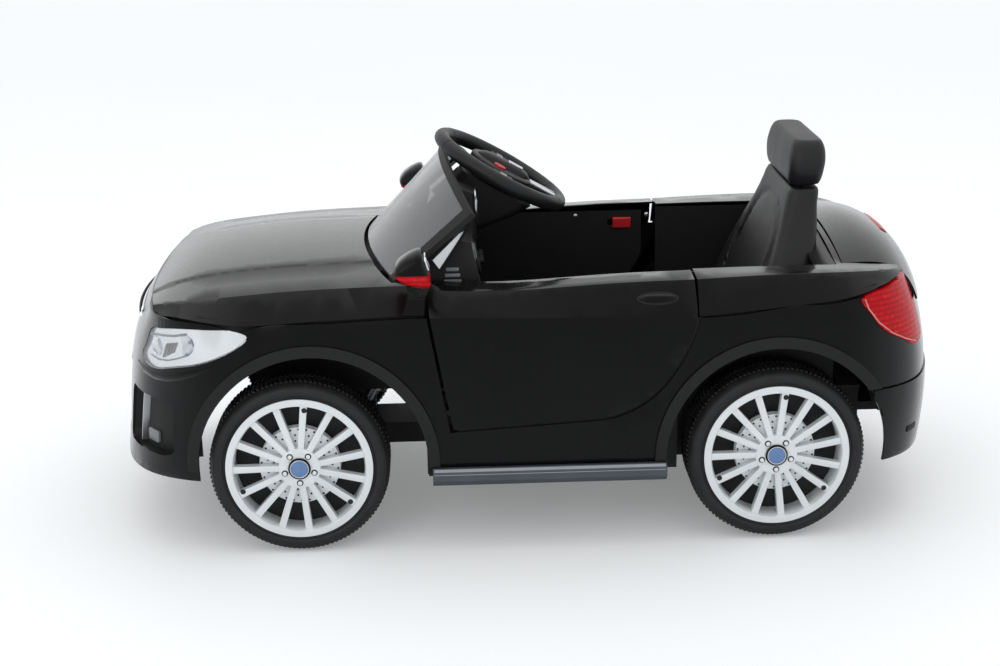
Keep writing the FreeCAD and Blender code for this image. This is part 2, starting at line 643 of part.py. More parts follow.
# Door mirrors
MIRROR_X = 150.0
MIRROR_Y = HALF_WIDTH
MIRROR_Z = 383.0
MIRROR_CUT_X = 127.0
MIRROR_LAMP_Z = 374.0
pod = Part.makeSphere(1.0)
stretch = FreeCAD.Matrix()
stretch.scale(30.0, 25.0, 25.0)
pod = pod.transformGeometry(stretch)
pod.translate(V(MIRROR_X, MIRROR_Y, MIRROR_Z))
pod = pod.common(box(MIRROR_CUT_X, 250.0, 200.0, 330.0, 300.0, 450.0))
lamp_zone = box(140.0, 250.0, 200.0, 330.0, 300.0, MIRROR_LAMP_Z)
mirror_lamp = pod.common(lamp_zone)
pod = pod.cut(lamp_zone)
glass_zone = box(MIRROR_CUT_X - 1.0, MIRROR_CUT_X + 3.0, MIRROR_Y - 18.0, MIRROR_Y + 18.0, MIRROR_Z - 9.0,
                 MIRROR_Z + 17.0)
mirror_glass = pod.common(glass_zone)
pod = pod.cut(glass_zone)
STALK_SECTIONS = ((139.0, 166.0, 230.0, 256.0, 318.0), (140.5, 160.0, 236.0, 254.0, 345.0),
                  (128.0, 139.5, 246.0, 258.0, 372.0))
stalk = loft([Part.makePolygon([V(x0, y0, z), V(x1, y0, z), V(x1, y1, z), V(x0, y1, z), V(x0, y0, z)])
              for x0, x1, y0, y1, z in STALK_SECTIONS])
mirror_left = largest(pod.fuse(stalk).removeSplitter().cut([hood, mirror_lamp]))

# Skirts below the doors
SKIRT_FRONT_X = 133.0
SKIRT_LENGTH = 304.0
SKIRT_OUTLINE = ((-3.6, 96.0), (4.0, 90.0), (8.0, 97.0), (7.0, 108.0), (2.0, 113.0), (-3.6, 113.0))
skirt_face = polygon_face([V(SKIRT_FRONT_X, HALF_WIDTH + out, z) for out, z in SKIRT_OUTLINE])
skirt = skirt_face.extrude(V(-SKIRT_LENGTH, 0, 0))
skirts = both_sides(skirt)

# Floor tub with battery bay, front spine and front tunnel between the wheels
TUNNEL_HALF = 121.0
TUNNEL_LOW = 175.0
TUNNEL_TOP = 296.0
TUNNEL_FRONT_X = 370.0
tub_parts = [
    box(TUB_STEP_X, TUB_FRONT_X, -TUB_HALF, TUB_HALF, FLOOR_BOTTOM, FLOOR_TOP),
    box(TAIL_BOX_X, TUB_STEP_X, -TAIL_BOX_HALF, TAIL_BOX_HALF, FLOOR_BOTTOM, FLOOR_TOP),
    box(TUB_FRONT_X - TUB_WALL, TUB_FRONT_X, -TUB_HALF, TUB_HALF, FLOOR_TOP, BULKHEAD_TOP),
    box(SEAT_WALL_X - TUB_WALL, SEAT_WALL_X, -TUB_HALF, TUB_HALF, FLOOR_TOP, SHELF_Z),
    box(TUB_STEP_X - TUB_WALL, TUB_STEP_X, -TUB_HALF, TUB_HALF, FLOOR_BOTTOM, SHELF_Z),
    box(TAIL_BOX_X, TAIL_BOX_X + TUB_WALL, -TAIL_BOX_HALF, TAIL_BOX_HALF, FLOOR_TOP, SHELF_Z),
    box(TAIL_BOX_X, TAIL_BOX_X + 26.0, -TAIL_BOX_HALF, TAIL_BOX_HALF, SHELF_Z - TUB_WALL, SHELF_Z),
    box(BUMPER_RIB_X + SEAT_FIT, TAIL_BOX_X, -100.0, 100.0, 118.0, 130.0),
    box(TUB_FRONT_X, SPINE_FRONT_X, -SPINE_HALF, SPINE_HALF, SPINE_BOTTOM, SPINE_TOP),
    box(-20.0, TUB_FRONT_X, -SPINE_HALF, SPINE_HALF, SPINE_BOTTOM, FLOOR_BOTTOM)]
for side in (1, -1):
    for x0, x1, half, top in ((TUB_STEP_X, TUB_FRONT_X, TUB_HALF, SILL_TOP),
                              (TAIL_BOX_X, TUB_STEP_X, TAIL_BOX_HALF, SHELF_Z)):
        ys = sorted((side * half, side * (half - TUB_WALL)))
        tub_parts.append(box(x0, x1, ys[0], ys[1], FLOOR_TOP, top))
    ys = sorted((side * (TAIL_BOX_HALF - TUB_WALL), side * (CABIN_HALF - 3.0 - SEAT_FIT)))
    tub_parts.append(box(TAIL_BOX_X, TUB_STEP_X, ys[0], ys[1], SHELF_Z - TUB_WALL, SHELF_Z))
    ys = sorted((side * TUNNEL_HALF, side * (TUNNEL_HALF - TUB_WALL)))
    tub_parts.append(box(TUB_FRONT_X - 1.0, TUNNEL_FRONT_X, ys[0], ys[1], TUNNEL_LOW, TUNNEL_TOP))
tub_parts.append(box(TUB_FRONT_X, TUNNEL_FRONT_X, -TUNNEL_HALF, TUNNEL_HALF, TUNNEL_TOP - TUB_WALL,
                     TUNNEL_TOP))
PEDAL_X = 52.0
PEDAL_Y = -80.0
PEDAL_Z = 101.0
PEDAL_HALF = 26.0
PEDAL_PIN = 3.0
for side in (1, -1):
    ys = sorted((PEDAL_Y + side * (PEDAL_HALF + 1.0), PEDAL_Y + side * (PEDAL_HALF + 7.0)))
    tub_parts.append(box(PEDAL_X - 7.0, PEDAL_X + 7.0, ys[0], ys[1], FLOOR_TOP - 1.0, PEDAL_Z + 7.0))
tilt = math.radians(STEER_TILT)
COLUMN_DOWN = V(math.sin(tilt), 0, -math.cos(tilt))
CRANK_OUT = V(math.cos(tilt), 0, math.sin(tilt))
STEER_CENTRE = V(STEER_X, 0, STEER_Z)


def on_column(distance):
    return STEER_CENTRE + COLUMN_DOWN * distance


column_foot = on_column(COLUMN_END)
tub_parts.append(box(column_foot.x - 18.0, column_foot.x + 14.0, -14.0, 14.0, SPINE_TOP - 1.0, 116.0))
tub_holes = [rod(COLUMN_RADIUS + RUN_FIT, on_column(COLUMN_END - 40.0), on_column(COLUMN_END + SEAT_FIT)),
             rod(COLUMN_RADIUS + 3.0, on_column(190.0), on_column(240.0)),
             rod(AXLE_RADIUS + RUN_FIT, V(REAR_AXLE_X, -300.0, AXLE_Z),
                 V(REAR_AXLE_X, TAIL_BOX_HALF - TUB_WALL - 2.0, AXLE_Z)),
             rod(PEDAL_PIN + RUN_FIT, V(PEDAL_X, PEDAL_Y - 40.0, PEDAL_Z),
                 V(PEDAL_X, PEDAL_Y + 40.0, PEDAL_Z))]
GEAR_SLEEVE = 16.0
tub_holes.append(rod(GEAR_SLEEVE + 1.0, V(REAR_AXLE_X, 160.0, AXLE_Z), V(REAR_AXLE_X, 300.0, AXLE_Z)))
chassis_tub = largest(joined(tub_parts).cut(tub_holes))
trim = box(CABIN_REAR_X - 2.0, TUB_STEP_X - 24.0, CABIN_HALF - 3.0, CABIN_HALF - SEAT_FIT, SHELF_Z - 20.0,
           347.0)
cabin_trims = both_sides(trim)
BATTERY_X = -290.0
battery = box(BATTERY_X, BATTERY_X + 65.0, -75.0, 75.0, FLOOR_TOP, SHELF_Z - 8.0)
battery = battery.makeFillet(3.0, [e for e in battery.Edges if abs(e.tangentAt(e.FirstParameter).z) > 0.9])
for side in (1, -1):
    post = box(BATTERY_X + 29.0, BATTERY_X + 36.0, side * 62.0 - 3.0, side * 62.0 + 3.0, SHELF_Z - 8.5,
               SHELF_Z - 2.0)
    battery = battery.fuse(post)
battery = largest(battery.removeSplitter())

# Dashboard with instrument hood, cowl tray and column shroud
DASH_HALF = 184.0
DASH_FACE_TOP = V(76.0, -DASH_HALF, 392.0)
DASH_FACE_FOOT = V(64.0, -DASH_HALF, 330.0)
dash_face = polygon_face([V(146.0, -DASH_HALF, 338.0), V(146.0, -DASH_HALF, 346.0),
                          V(100.0, -DASH_HALF, 398.0),
                          DASH_FACE_TOP, DASH_FACE_FOOT, V(92.0, -DASH_HALF, 250.0),
                          V(136.0, -DASH_HALF, 250.0), V(136.0, -DASH_HALF, 300.0),
                          V(146.0, -DASH_HALF, 320.0)])
dash = dash_face.extrude(V(0, 2.0 * DASH_HALF, 0))
DASH_WALL = 4.0
dash_room = polygon_face([V(141.0, -DASH_HALF + DASH_WALL, 343.0), V(99.0, -DASH_HALF + DASH_WALL, 392.0),
                          V(80.0, -DASH_HALF + DASH_WALL, 387.0), V(69.0, -DASH_HALF + DASH_WALL, 330.0),
                          V(97.0, -DASH_HALF + DASH_WALL, 240.0), V(131.0, -DASH_HALF + DASH_WALL, 240.0),
                          V(131.0, -DASH_HALF + DASH_WALL, 302.0), V(141.0, -DASH_HALF + DASH_WALL, 322.0)])
dash_room = dash_room.extrude(V(0, 2.0 * (DASH_HALF - DASH_WALL), 0))
hump_face = polygon_face([V(122.0, -78.0, 370.0), V(112.0, -78.0, 418.0), V(88.0, -78.0, 440.0),
                          V(68.0, -78.0, 434.0),
                          V(66.0, -78.0, 370.0)])
hump = hump_face.extrude(V(0, 156.0, 0))
hump_room = box(72.0, 106.0, -72.0, 72.0, 360.0, 424.0)
end_edges = [e for e in hump.Edges if abs(e.tangentAt(e.FirstParameter).y) < 0.1]
hump = hump.makeFillet(9.0, [e for e in end_edges if e.CenterOfMass.z > 380.0])
tray = box(140.0, 226.0, -CABIN_HALF, CABIN_HALF, TRAY_TOP - 3.0, TRAY_TOP)
shroud = rod(20.0, on_column(40.0), on_column(110.0))
dashboard = joined([dash.cut(dash_room), hump.cut(hump_room).cut(dash_room), tray,
                    shroud.cut(dash_room).cut(hump_room)])
SWITCH_X = 66.0
SWITCH_Y = -120.0
SWITCH_Z = 345.0
column_hole = rod(COLUMN_RADIUS + 3.0, on_column(20.0), on_column(300.0))
switch_hole = box(50.0, 90.0, SWITCH_Y - 12.5, SWITCH_Y + 12.5, SWITCH_Z - 9.5, SWITCH_Z + 9.5)

# Charging socket, square to the driver's face of the dashboard
SOCKET_Y = 140.0
SOCKET_SHARE = 0.32
SOCKET_BODY = 8.0
SOCKET_FLANGE = 12.0
SOCKET_BORE = 2.8
SOCKET_DEPTH = 14.0
SOCKET_PROUD = 4.0
socket_face = DASH_FACE_FOOT + (DASH_FACE_TOP - DASH_FACE_FOOT) * SOCKET_SHARE
socket_face.y = SOCKET_Y
socket_out = (DASH_FACE_TOP - DASH_FACE_FOOT).cross(Y_DIR).normalize()


def socket_rod(radius, start, end):
    return rod(radius, socket_face + socket_out * start, socket_face + socket_out * end)


socket = socket_rod(SOCKET_FLANGE, SEAT_FIT, SOCKET_PROUD)
socket = socket.fuse(socket_rod(SOCKET_BODY, -SOCKET_DEPTH, 2.0))
charging_socket = largest(socket.removeSplitter().cut(socket_rod(SOCKET_BORE, 3.0 - SOCKET_DEPTH, 10.0)))
socket_hole = socket_rod(SOCKET_BODY + SEAT_FIT, -20.0, 5.0)
dashboard = largest(dashboard.cut([column_hole, switch_hole, socket_hole]))
switch = rod(9.0, V(SWITCH_X + 6.0, SWITCH_Y - 12.0, SWITCH_Z),
             V(SWITCH_X + 6.0, SWITCH_Y + 12.0, SWITCH_Z))
direction_switch = switch.fuse(box(SWITCH_X - 9.0, SWITCH_X + 4.0, SWITCH_Y - 7.0, SWITCH_Y + 7.0,
                                   SWITCH_Z - 2.5, SWITCH_Z + 2.5))
direction_switch = largest(direction_switch.removeSplitter())

# Seat: pan with raised sides, back, and headrest
SEAT_HALF = 168.0


def rounded_section(x0, x1, half, z, corner):
    block = Part.makePlane(x1 - x0, 2.0 * half, V(x0, -half, z))
    ring = block.OuterWire
    solid = Part.Face(ring).extrude(V(0, 0, 1.0))
    solid = solid.makeFillet(corner, [e for e in solid.Edges if abs(e.tangentAt(e.FirstParameter).z) > 0.9])
    low = [f for f in solid.Faces if abs(f.CenterOfMass.z - z) < 0.001]
    return low[0].OuterWire


BACK_SECTIONS = ((-352.0, -286.0, 160.0, SHELF_Z + 4.0, 16.0), (-372.0, -306.0, 156.0, 290.0, 16.0),
                 (-388.0, -330.0, 132.0, 350.0, 15.0), (-394.0, -346.0, 104.0, 395.0, 14.0),
                 (-398.0, -357.0, 90.0, 432.0, 13.0))
ROOM_SECTIONS = ((-352.0, -286.0, 160.0, SHELF_Z - 6.0), (-372.0, -306.0, 156.0, 290.0),
                 (-388.0, -330.0, 132.0, 350.0), (-394.0, -346.0, 104.0, 395.0),
                 (-397.0, -356.0, 92.0, 422.0))
HEADREST_SECTIONS = ((-398.0, -358.0, 84.0, 432.4, 14.0), (-402.0, -355.0, 92.0, 448.0, 16.0),
                     (-405.0, -357.0, 92.0, 478.0, 16.0), (-401.0, -363.0, 80.0, 496.0, 13.0))
HEADREST_WALL = 6.0
seat_back = loft([rounded_section(*section) for section in BACK_SECTIONS])
pan = box(-345.0, -118.0, -SEAT_HALF, SEAT_HALF, SHELF_Z + SEAT_FIT, 214.0)
front_edges = [e for e in pan.Edges if e.CenterOfMass.x > -130.0]
top_edges = [e for e in pan.Edges if abs(e.CenterOfMass.y) > 160.0 and e.CenterOfMass.z > 205.0]
rim_edges = front_edges + [e for e in top_edges if e.CenterOfMass.x <= -130.0]
pan = pan.makeFillet(12.0, rim_edges)
dish = Part.makeCylinder(420.0, 200.0, V(-316.0, 0.0, 618.0), V(1.0, 0, 0.03))
seat = largest(joined([pan.cut(dish), seat_back]))
seat_room = loft([rounded_section(x0 + 5.0, x1 - 15.0, half - 8.0, z, 6.0)
                  for x0, x1, half, z in ROOM_SECTIONS])
seat = largest(seat.cut([seat_room, box(-295.0, -124.0, -SEAT_HALF + 6.0, SEAT_HALF - 6.0, SHELF_Z - 5.0,
                                        192.0)]))
arch_path = []
for y, z in ((-104.0, 235.0), (-100.0, 310.0), (-70.0, 385.0), (0.0, 408.0), (70.0, 385.0), (100.0, 310.0),
             (104.0, 235.0)):
    arch_path.append(V(-286.0 - (z - SHELF_Z) * 0.27, y, z))
channel_line = Part.Wire([edge_through(arch_path)])
channel_ring = Part.Wire([Part.makeCircle(7.0, arch_path[0], V(0, 0.05, 1.0))])
channel = channel_line.makePipeShell([channel_ring], True, False)
seat = largest(seat.cut(channel))
headrest = loft([rounded_section(*section) for section in HEADREST_SECTIONS])
headrest_room = loft([rounded_section(x0 + HEADREST_WALL, x1 - HEADREST_WALL, half - HEADREST_WALL,
                                      z - HEADREST_WALL, corner - HEADREST_WALL)
                      for x0, x1, half, z, corner in HEADREST_SECTIONS])
headrest = largest(headrest.cut(headrest_room))

# Rear axle, nuts and drive
SPIN_END_Y = WHEEL_FACE_Y - 8.0
HUB_BACK_Y = WHEEL_FACE_Y - WHEEL_HUB_DEPTH
rear_axle = rod(AXLE_RADIUS, V(REAR_AXLE_X, -SPIN_END_Y, AXLE_Z), V(REAR_AXLE_X, SPIN_END_Y, AXLE_Z))
collar = rod(10.0, V(REAR_AXLE_X, -HUB_BACK_Y + SEAT_FIT, AXLE_Z),
             V(REAR_AXLE_X, -TAIL_BOX_HALF - SEAT_FIT, AXLE_Z))
rear_axle = largest(rear_axle.fuse(collar).removeSplitter())


def hex_nut(x, side):
    near = WHEEL_FACE_Y - 3.0 - NUT_POCKET_DEPTH + SEAT_FIT
    points = [V(x + NUT_RADIUS * math.cos(math.radians(60.0 * k)), near,
                AXLE_Z + NUT_RADIUS * math.sin(math.radians(60.0 * k)))
              for k in range(6)]
    nut = polygon_face(points).extrude(V(0, NUT_HEIGHT, 0))
    nut = nut.cut(rod(AXLE_RADIUS + 0.02, V(x, near - 1.0, AXLE_Z), V(x, near + NUT_HEIGHT + 1.0, AXLE_Z)))
    if side < 0:
        return mirrored(nut)
    return nut


rear_axle_nuts = Part.makeCompound([hex_nut(REAR_AXLE_X, 1), hex_nut(REAR_AXLE_X, -1)])


def gear_face(teeth, turn):
    pitch = GEAR_MODULE * teeth / 2.0
    base = pitch * math.cos(math.radians(GEAR_PRESSURE))
    tip = pitch + 0.8 * GEAR_MODULE
    root = pitch - 1.0 * GEAR_MODULE
    flank_angle = math.tan(math.radians(GEAR_PRESSURE)) - math.radians(GEAR_PRESSURE)
    half_tooth = math.pi / (2.0 * teeth) - GEAR_BACKLASH / (2.0 * pitch) + flank_angle
    start = max(base, root)
    points = []
    for tooth in range(teeth):
        middle = turn + 2.0 * math.pi * tooth / teeth
        rising = []
        for step in range(5):
            radius = start + (tip - start) * step / 4.0
            spread = math.sqrt(max(0.0, (radius / base) ** 2 - 1.0))
            rising.append((radius, half_tooth - (spread - math.atan(spread))))
        if root < base:
            rising.insert(0, (root, half_tooth))
        for radius, angle in rising:
            points.append((radius, middle - angle))
        for radius, angle in reversed(rising):
            points.append((radius, middle + angle))
    return [(radius * math.cos(angle), radius * math.sin(angle)) for radius, angle in points]


GEAR_SPACING = GEAR_MODULE * (GEAR_TEETH + PINION_TEETH) / 2.0
PINION_X = REAR_AXLE_X + GEAR_SPACING


def gear_solid(teeth, turn, x):
    face = polygon_face([V(x + u, GEAR_Y, AXLE_Z + w) for u, w in gear_face(teeth, turn)])
    return face.extrude(V(0, GEAR_FACE, 0))


gear_bore = rod(AXLE_RADIUS + RUN_FIT, V(REAR_AXLE_X, 100.0, AXLE_Z), V(REAR_AXLE_X, 300.0, AXLE_Z))
drive_gear = gear_solid(GEAR_TEETH, 0.0, REAR_AXLE_X)
drive_gear = drive_gear.fuse(rod(11.0, V(REAR_AXLE_X, GEAR_Y - 4.0, AXLE_Z),
                                 V(REAR_AXLE_X, GEAR_Y + 20.0, AXLE_Z)))
drive_gear = drive_gear.fuse(rod(GEAR_SLEEVE, V(REAR_AXLE_X, GEAR_Y + 18.0, AXLE_Z),
                                 V(REAR_AXLE_X, HUB_BACK_Y, AXLE_Z)))
drive_gear = largest(drive_gear.removeSplitter().cut(gear_bore))
pinion = gear_solid(PINION_TEETH, math.pi + math.pi / PINION_TEETH, PINION_X)
pinion = pinion.fuse(rod(MOTOR_SHAFT, V(PINION_X, 96.0, AXLE_Z),
                         V(PINION_X, GEAR_Y + GEAR_FACE + 3.0, AXLE_Z)))
motor_pinion = largest(pinion.removeSplitter())
CASE_IN_Y = GEAR_Y - 8.0
CASE_OUT_Y = GEAR_Y + GEAR_FACE + 7.0
gear_reach = GEAR_MODULE * (GEAR_TEETH / 2.0 + 0.8) + 0.6
case = box(REAR_AXLE_X - gear_reach - CASE_WALL, PINION_X + 14.0, CASE_IN_Y, CASE_OUT_Y, FLOOR_TOP,
           AXLE_Z + gear_reach + CASE_WALL)
hollow = rod(gear_reach, V(REAR_AXLE_X, CASE_IN_Y + CASE_WALL, AXLE_Z),
             V(REAR_AXLE_X, CASE_OUT_Y - CASE_WALL, AXLE_Z))
pinion_reach = GEAR_MODULE * (PINION_TEETH / 2.0 + 0.8) + 1.0
hollow = hollow.fuse(rod(pinion_reach, V(PINION_X, CASE_IN_Y + CASE_WALL, AXLE_Z),
                         V(PINION_X, CASE_OUT_Y - CASE_WALL, AXLE_Z)))
case = case.cut([hollow, rod(11.5, V(REAR_AXLE_X, 100.0, AXLE_Z), V(REAR_AXLE_X, 180.0, AXLE_Z)),
                 rod(MOTOR_SHAFT + 1.0, V(PINION_X, 100.0, AXLE_Z), V(PINION_X, CASE_IN_Y + 5.0, AXLE_Z))])
gearbox_case = largest(case)
motor = rod(MOTOR_RADIUS, V(PINION_X, CASE_IN_Y - MOTOR_LENGTH, AXLE_Z), V(PINION_X, CASE_IN_Y, AXLE_Z))
motor = motor.cut(rod(MOTOR_SHAFT + RUN_FIT, V(PINION_X, 95.0, AXLE_Z), V(PINION_X, 200.0, AXLE_Z)))

# Front axle, kingpins, knuckles, tie rod
EAR = 6.0
beam = box(FRONT_AXLE_X - 8.0, FRONT_AXLE_X + 8.0, -KINGPIN_Y + 18.0, KINGPIN_Y - 18.0, SPINE_TOP,
           SPINE_TOP + 16.0)
yoke_parts = []
for side in (1, -1):
    ys = sorted((side * (KINGPIN_Y - 22.0), side * (KINGPIN_Y - 14.0)))
    low = KNUCKLE_BOTTOM - 0.5 - EAR
    high = KNUCKLE_TOP + 0.5 + EAR
    yoke_parts.append(box(FRONT_AXLE_X - 12.0, FRONT_AXLE_X + 12.0, ys[0], ys[1], low, high))
    ys = sorted((side * (KINGPIN_Y - 22.0), side * (KINGPIN_Y + 11.0)))
    yoke_parts.append(box(FRONT_AXLE_X - 12.0, FRONT_AXLE_X + 12.0, ys[0], ys[1], low, low + EAR))
    yoke_parts.append(box(FRONT_AXLE_X - 12.0, FRONT_AXLE_X + 12.0, ys[0], ys[1], high - EAR, high))
pin_holes = [rod(KINGPIN_RADIUS + RUN_FIT, V(FRONT_AXLE_X, side * KINGPIN_Y, 60.0),
                 V(FRONT_AXLE_X, side * KINGPIN_Y, 180.0))
             for side in (1, -1)]
front_axle_beam = largest(joined([beam] + yoke_parts).cut(pin_holes))
kingpin = rod(KINGPIN_RADIUS, V(FRONT_AXLE_X, KINGPIN_Y, low - 4.0), V(FRONT_AXLE_X, KINGPIN_Y, high + 1.0))
kingpin = kingpin.fuse(rod(8.0, V(FRONT_AXLE_X, KINGPIN_Y, high + SEAT_FIT),
                           V(FRONT_AXLE_X, KINGPIN_Y, high + 4.0))).removeSplitter()
kingpins = both_sides(largest(kingpin))
KNUCKLE_ARM_TOP = TIE_BOTTOM - 3.0
knuckle_parts = [rod(KNUCKLE_RADIUS, V(FRONT_AXLE_X, KINGPIN_Y, KNUCKLE_BOTTOM),
                     V(FRONT_AXLE_X, KINGPIN_Y, KNUCKLE_TOP)),
                 rod(10.0, V(FRONT_AXLE_X, KINGPIN_Y, AXLE_Z),
                     V(FRONT_AXLE_X, HUB_BACK_Y - SEAT_FIT, AXLE_Z)),
                 rod(AXLE_RADIUS, V(FRONT_AXLE_X, HUB_BACK_Y - 1.0, AXLE_Z),
                     V(FRONT_AXLE_X, SPIN_END_Y, AXLE_Z)),
                 box(FRONT_AXLE_X, FRONT_AXLE_X + ARM_LENGTH, KINGPIN_Y - 7.0, KINGPIN_Y + 7.0,
                     KNUCKLE_ARM_TOP - 8.0, KNUCKLE_ARM_TOP),
                 rod(7.0, V(FRONT_AXLE_X + ARM_LENGTH, KINGPIN_Y, KNUCKLE_ARM_TOP - 8.0),
                     V(FRONT_AXLE_X + ARM_LENGTH, KINGPIN_Y, KNUCKLE_ARM_TOP)),
                 rod(ARM_PIN, V(FRONT_AXLE_X + ARM_LENGTH, KINGPIN_Y, KNUCKLE_ARM_TOP - 1.0),
                     V(FRONT_AXLE_X + ARM_LENGTH, KINGPIN_Y, TIE_BOTTOM + TIE_THICK + 4.0))]
knuckle_solid = largest(joined(knuckle_parts).cut(pin_holes[0]))
knuckle_left = Part.makeCompound([knuckle_solid, hex_nut(FRONT_AXLE_X, 1)])
TIE_X = FRONT_AXLE_X + ARM_LENGTH
tie_high = TIE_BOTTOM + TIE_THICK
PIN_MEETS = (STEER_Z + CRANK_RADIUS * math.sin(tilt) - TIE_BOTTOM - TIE_THICK / 2.0) / math.cos(tilt)
FORK_X = (on_column(PIN_MEETS) + CRANK_OUT * CRANK_RADIUS).x
tie_parts = [box(TIE_X - 7.0, TIE_X + 7.0, -KINGPIN_Y, KINGPIN_Y, TIE_BOTTOM, tie_high),
             box(FORK_X - 11.5, TIE_X, -14.0, 14.0, TIE_BOTTOM, tie_high)]
for side in (1, -1):
    tie_parts.append(rod(12.0, V(TIE_X, side * KINGPIN_Y, TIE_BOTTOM),
                         V(TIE_X, side * KINGPIN_Y, tie_high)))
tie_holes = [box(FORK_X - 20.0, FORK_X + 8.0, -CRANK_PIN - 0.6, CRANK_PIN + 0.6, TIE_BOTTOM - 1.0,
                 tie_high + 1.0)]
for side in (1, -1):
    for shift in (0.0, -3.2):
        eye = V(TIE_X + shift, side * KINGPIN_Y, TIE_BOTTOM - 1.0)
        tie_holes.append(Part.makeCylinder(ARM_PIN + 0.8, TIE_THICK + 2.0, eye, Z_DIR))
    tie_holes.append(box(TIE_X - 3.2, TIE_X, side * KINGPIN_Y - ARM_PIN - 0.8,
                         side * KINGPIN_Y + ARM_PIN + 0.8,
                         TIE_BOTTOM - 1.0, tie_high + 1.0))
tie_rod = largest(joined(tie_parts).cut(tie_holes))

# Steering column with crank, steering wheel, horn buttons
CRANK_AT = PIN_MEETS - 13.0
crank_tip = on_column(CRANK_AT) + CRANK_OUT * CRANK_RADIUS
crank_plate = box(-4.0, 4.0, -8.0, 8.0, 0.0, CRANK_RADIUS + 7.0)
crank_plate.rotate(ORIGIN, Y_DIR, 90.0 - STEER_TILT)
crank_plate.translate(on_column(CRANK_AT))
column_parts = [rod(COLUMN_RADIUS, on_column(6.0), on_column(COLUMN_END)), crank_plate,
                rod(12.0, on_column(CRANK_AT - 7.0), on_column(CRANK_AT + 4.0)),
                rod(CRANK_PIN, crank_tip, crank_tip + COLUMN_DOWN * 20.0)]
steering_column = largest(joined(column_parts))


def tilted(shape):
    placed = shape.copy()
    placed.rotate(ORIGIN, Y_DIR, -STEER_TILT)
    placed.translate(STEER_CENTRE)
    return placed


HORN_Y = 27.0
HORN_RADIUS = 9.0
rim = Part.makeTorus(STEER_RIM_RADIUS, STEER_TUBE)
hub_ring = Part.makeCylinder(46.0, 14.0, V(0, 0, -8.0))
hub_ring = hub_ring.makeFillet(4.0, [e for e in hub_ring.Edges if len(e.Vertexes) == 1])
spokes = [box(-14.0, 14.0, 30.0, STEER_RIM_RADIUS, -6.0, 4.0),
          box(-14.0, 14.0, -STEER_RIM_RADIUS, -30.0, -6.0, 4.0),
          box(-STEER_RIM_RADIUS, -30.0, -17.0, 17.0, -6.0, 4.0)]
boss = Part.makeCylinder(16.0, 26.0, V(0, 0, -30.0))
wheel_body = joined([rim, hub_ring, boss] + spokes)
wheel_cuts = [Part.makeCylinder(COLUMN_RADIUS + 0.03, 40.0, V(0, 0, -40.0))]
for side in (1, -1):
    wheel_cuts.append(Part.makeCylinder(HORN_RADIUS + 0.5, 12.0, V(6.0, side * HORN_Y, -3.0)))
steering_wheel = tilted(largest(wheel_body.cut(wheel_cuts)))
horn = Part.makeCylinder(HORN_RADIUS, 8.5, V(6.0, HORN_Y, 0.5))
horn = horn.makeFillet(1.5, [horn.Edges[0]])
horn_button_left = tilted(horn)

# Foot pedal
pedal_plate = box(0.0, 84.0, -PEDAL_HALF, PEDAL_HALF, 2.0, 9.0)
pedal_plate = pedal_plate.makeFillet(3.0, [e for e in pedal_plate.Edges if e.CenterOfMass.z > 8.0])
pedal = pedal_plate.fuse(rod(6.0, V(0, -PEDAL_HALF, 0), V(0, PEDAL_HALF, 0)))
pedal = largest(pedal.fuse(rod(PEDAL_PIN, V(0, -PEDAL_HALF - 6.5, 0),
                               V(0, PEDAL_HALF + 6.5, 0))).removeSplitter())
pedal.rotate(ORIGIN, Y_DIR, -30.0)
pedal.translate(V(PEDAL_X, PEDAL_Y, PEDAL_Z))
foot_pedal = pedal

# Doors: skin with ledge, inner panel on hinge ears, sliding latch
DOOR_STATIONS = ((146.0, 345.0), (80.0, 341.0), (20.0, 341.0), (-80.0, 346.0), (-150.0, 348.5),
                 (-216.0, 350.0))
DOOR_EDGE_Y = 231.0


def door_loft():
    wires = []
    for x, edge_z in DOOR_STATIONS:
        profile = side_station(x)[4]
        side = [V(x, HALF_WIDTH - o, z) for o, z in profile]
        side_in = [V(x, HALF_WIDTH - o - WALL, z) for o, z in profile]
        edge = V(x, DOOR_EDGE_Y, edge_z)
        edge_in = V(x, DOOR_EDGE_Y - 2.0, edge_z - WALL)
        ledge = V(x, DOOR_INNER_Y, edge_z + 3.0)
        ledge_in = V(x, DOOR_INNER_Y, edge_z + 3.0 - WALL)
        wires.append(strip_wire([side, [side[-1], edge], [edge, ledge]],
                                [side_in, [side_in[-1], edge_in], [edge_in, ledge_in]]))
    return loft(wires)


door_left = largest(door_loft().common(door_prism(DOOR_GAP / 2.0, 150.0, 330.0)).cut(hinge_rooms))
panel = box(-190.0, 112.0, DOOR_INNER_Y, DOOR_INNER_Y + DOOR_PANEL, 176.0, 340.0)
panel = panel.common(door_prism(DOOR_GAP / 2.0 + 8.0, 150.0, 330.0))
ears = []
for z in [height + EAR_LIFT for height in LUG_HEIGHTS]:
    ear = box(96.0, HINGE_X + 1.0, DOOR_INNER_Y, HINGE_Y - 1.6, z, z + EAR_THICK)
    ear = ear.fuse(Part.makeCylinder(HINGE_KNUCKLE, EAR_THICK, V(HINGE_X, HINGE_Y, z), Z_DIR))
    ears.append(ear.cut(Part.makeCylinder(HINGE_PIN + RUN_FIT, 20.0, V(HINGE_X, HINGE_Y, z - 5.0), Z_DIR)))
LATCH_X = -160.0
LATCH_Z = 322.0
latch_slot = box(LATCH_X - 9.0, LATCH_X + 9.0 + LATCH_TRAVEL, DOOR_INNER_Y - 5.0, DOOR_INNER_Y + 10.0,
                 LATCH_Z - 4.0, LATCH_Z + 4.0)
door_inner_left = largest(joined([panel] + ears).cut(latch_slot).cut(door_left))
knob = box(LATCH_X - 14.0, LATCH_X + 14.0, DOOR_INNER_Y - 6.0, DOOR_INNER_Y - 0.05, LATCH_Z - 8.0,
           LATCH_Z + 8.0)
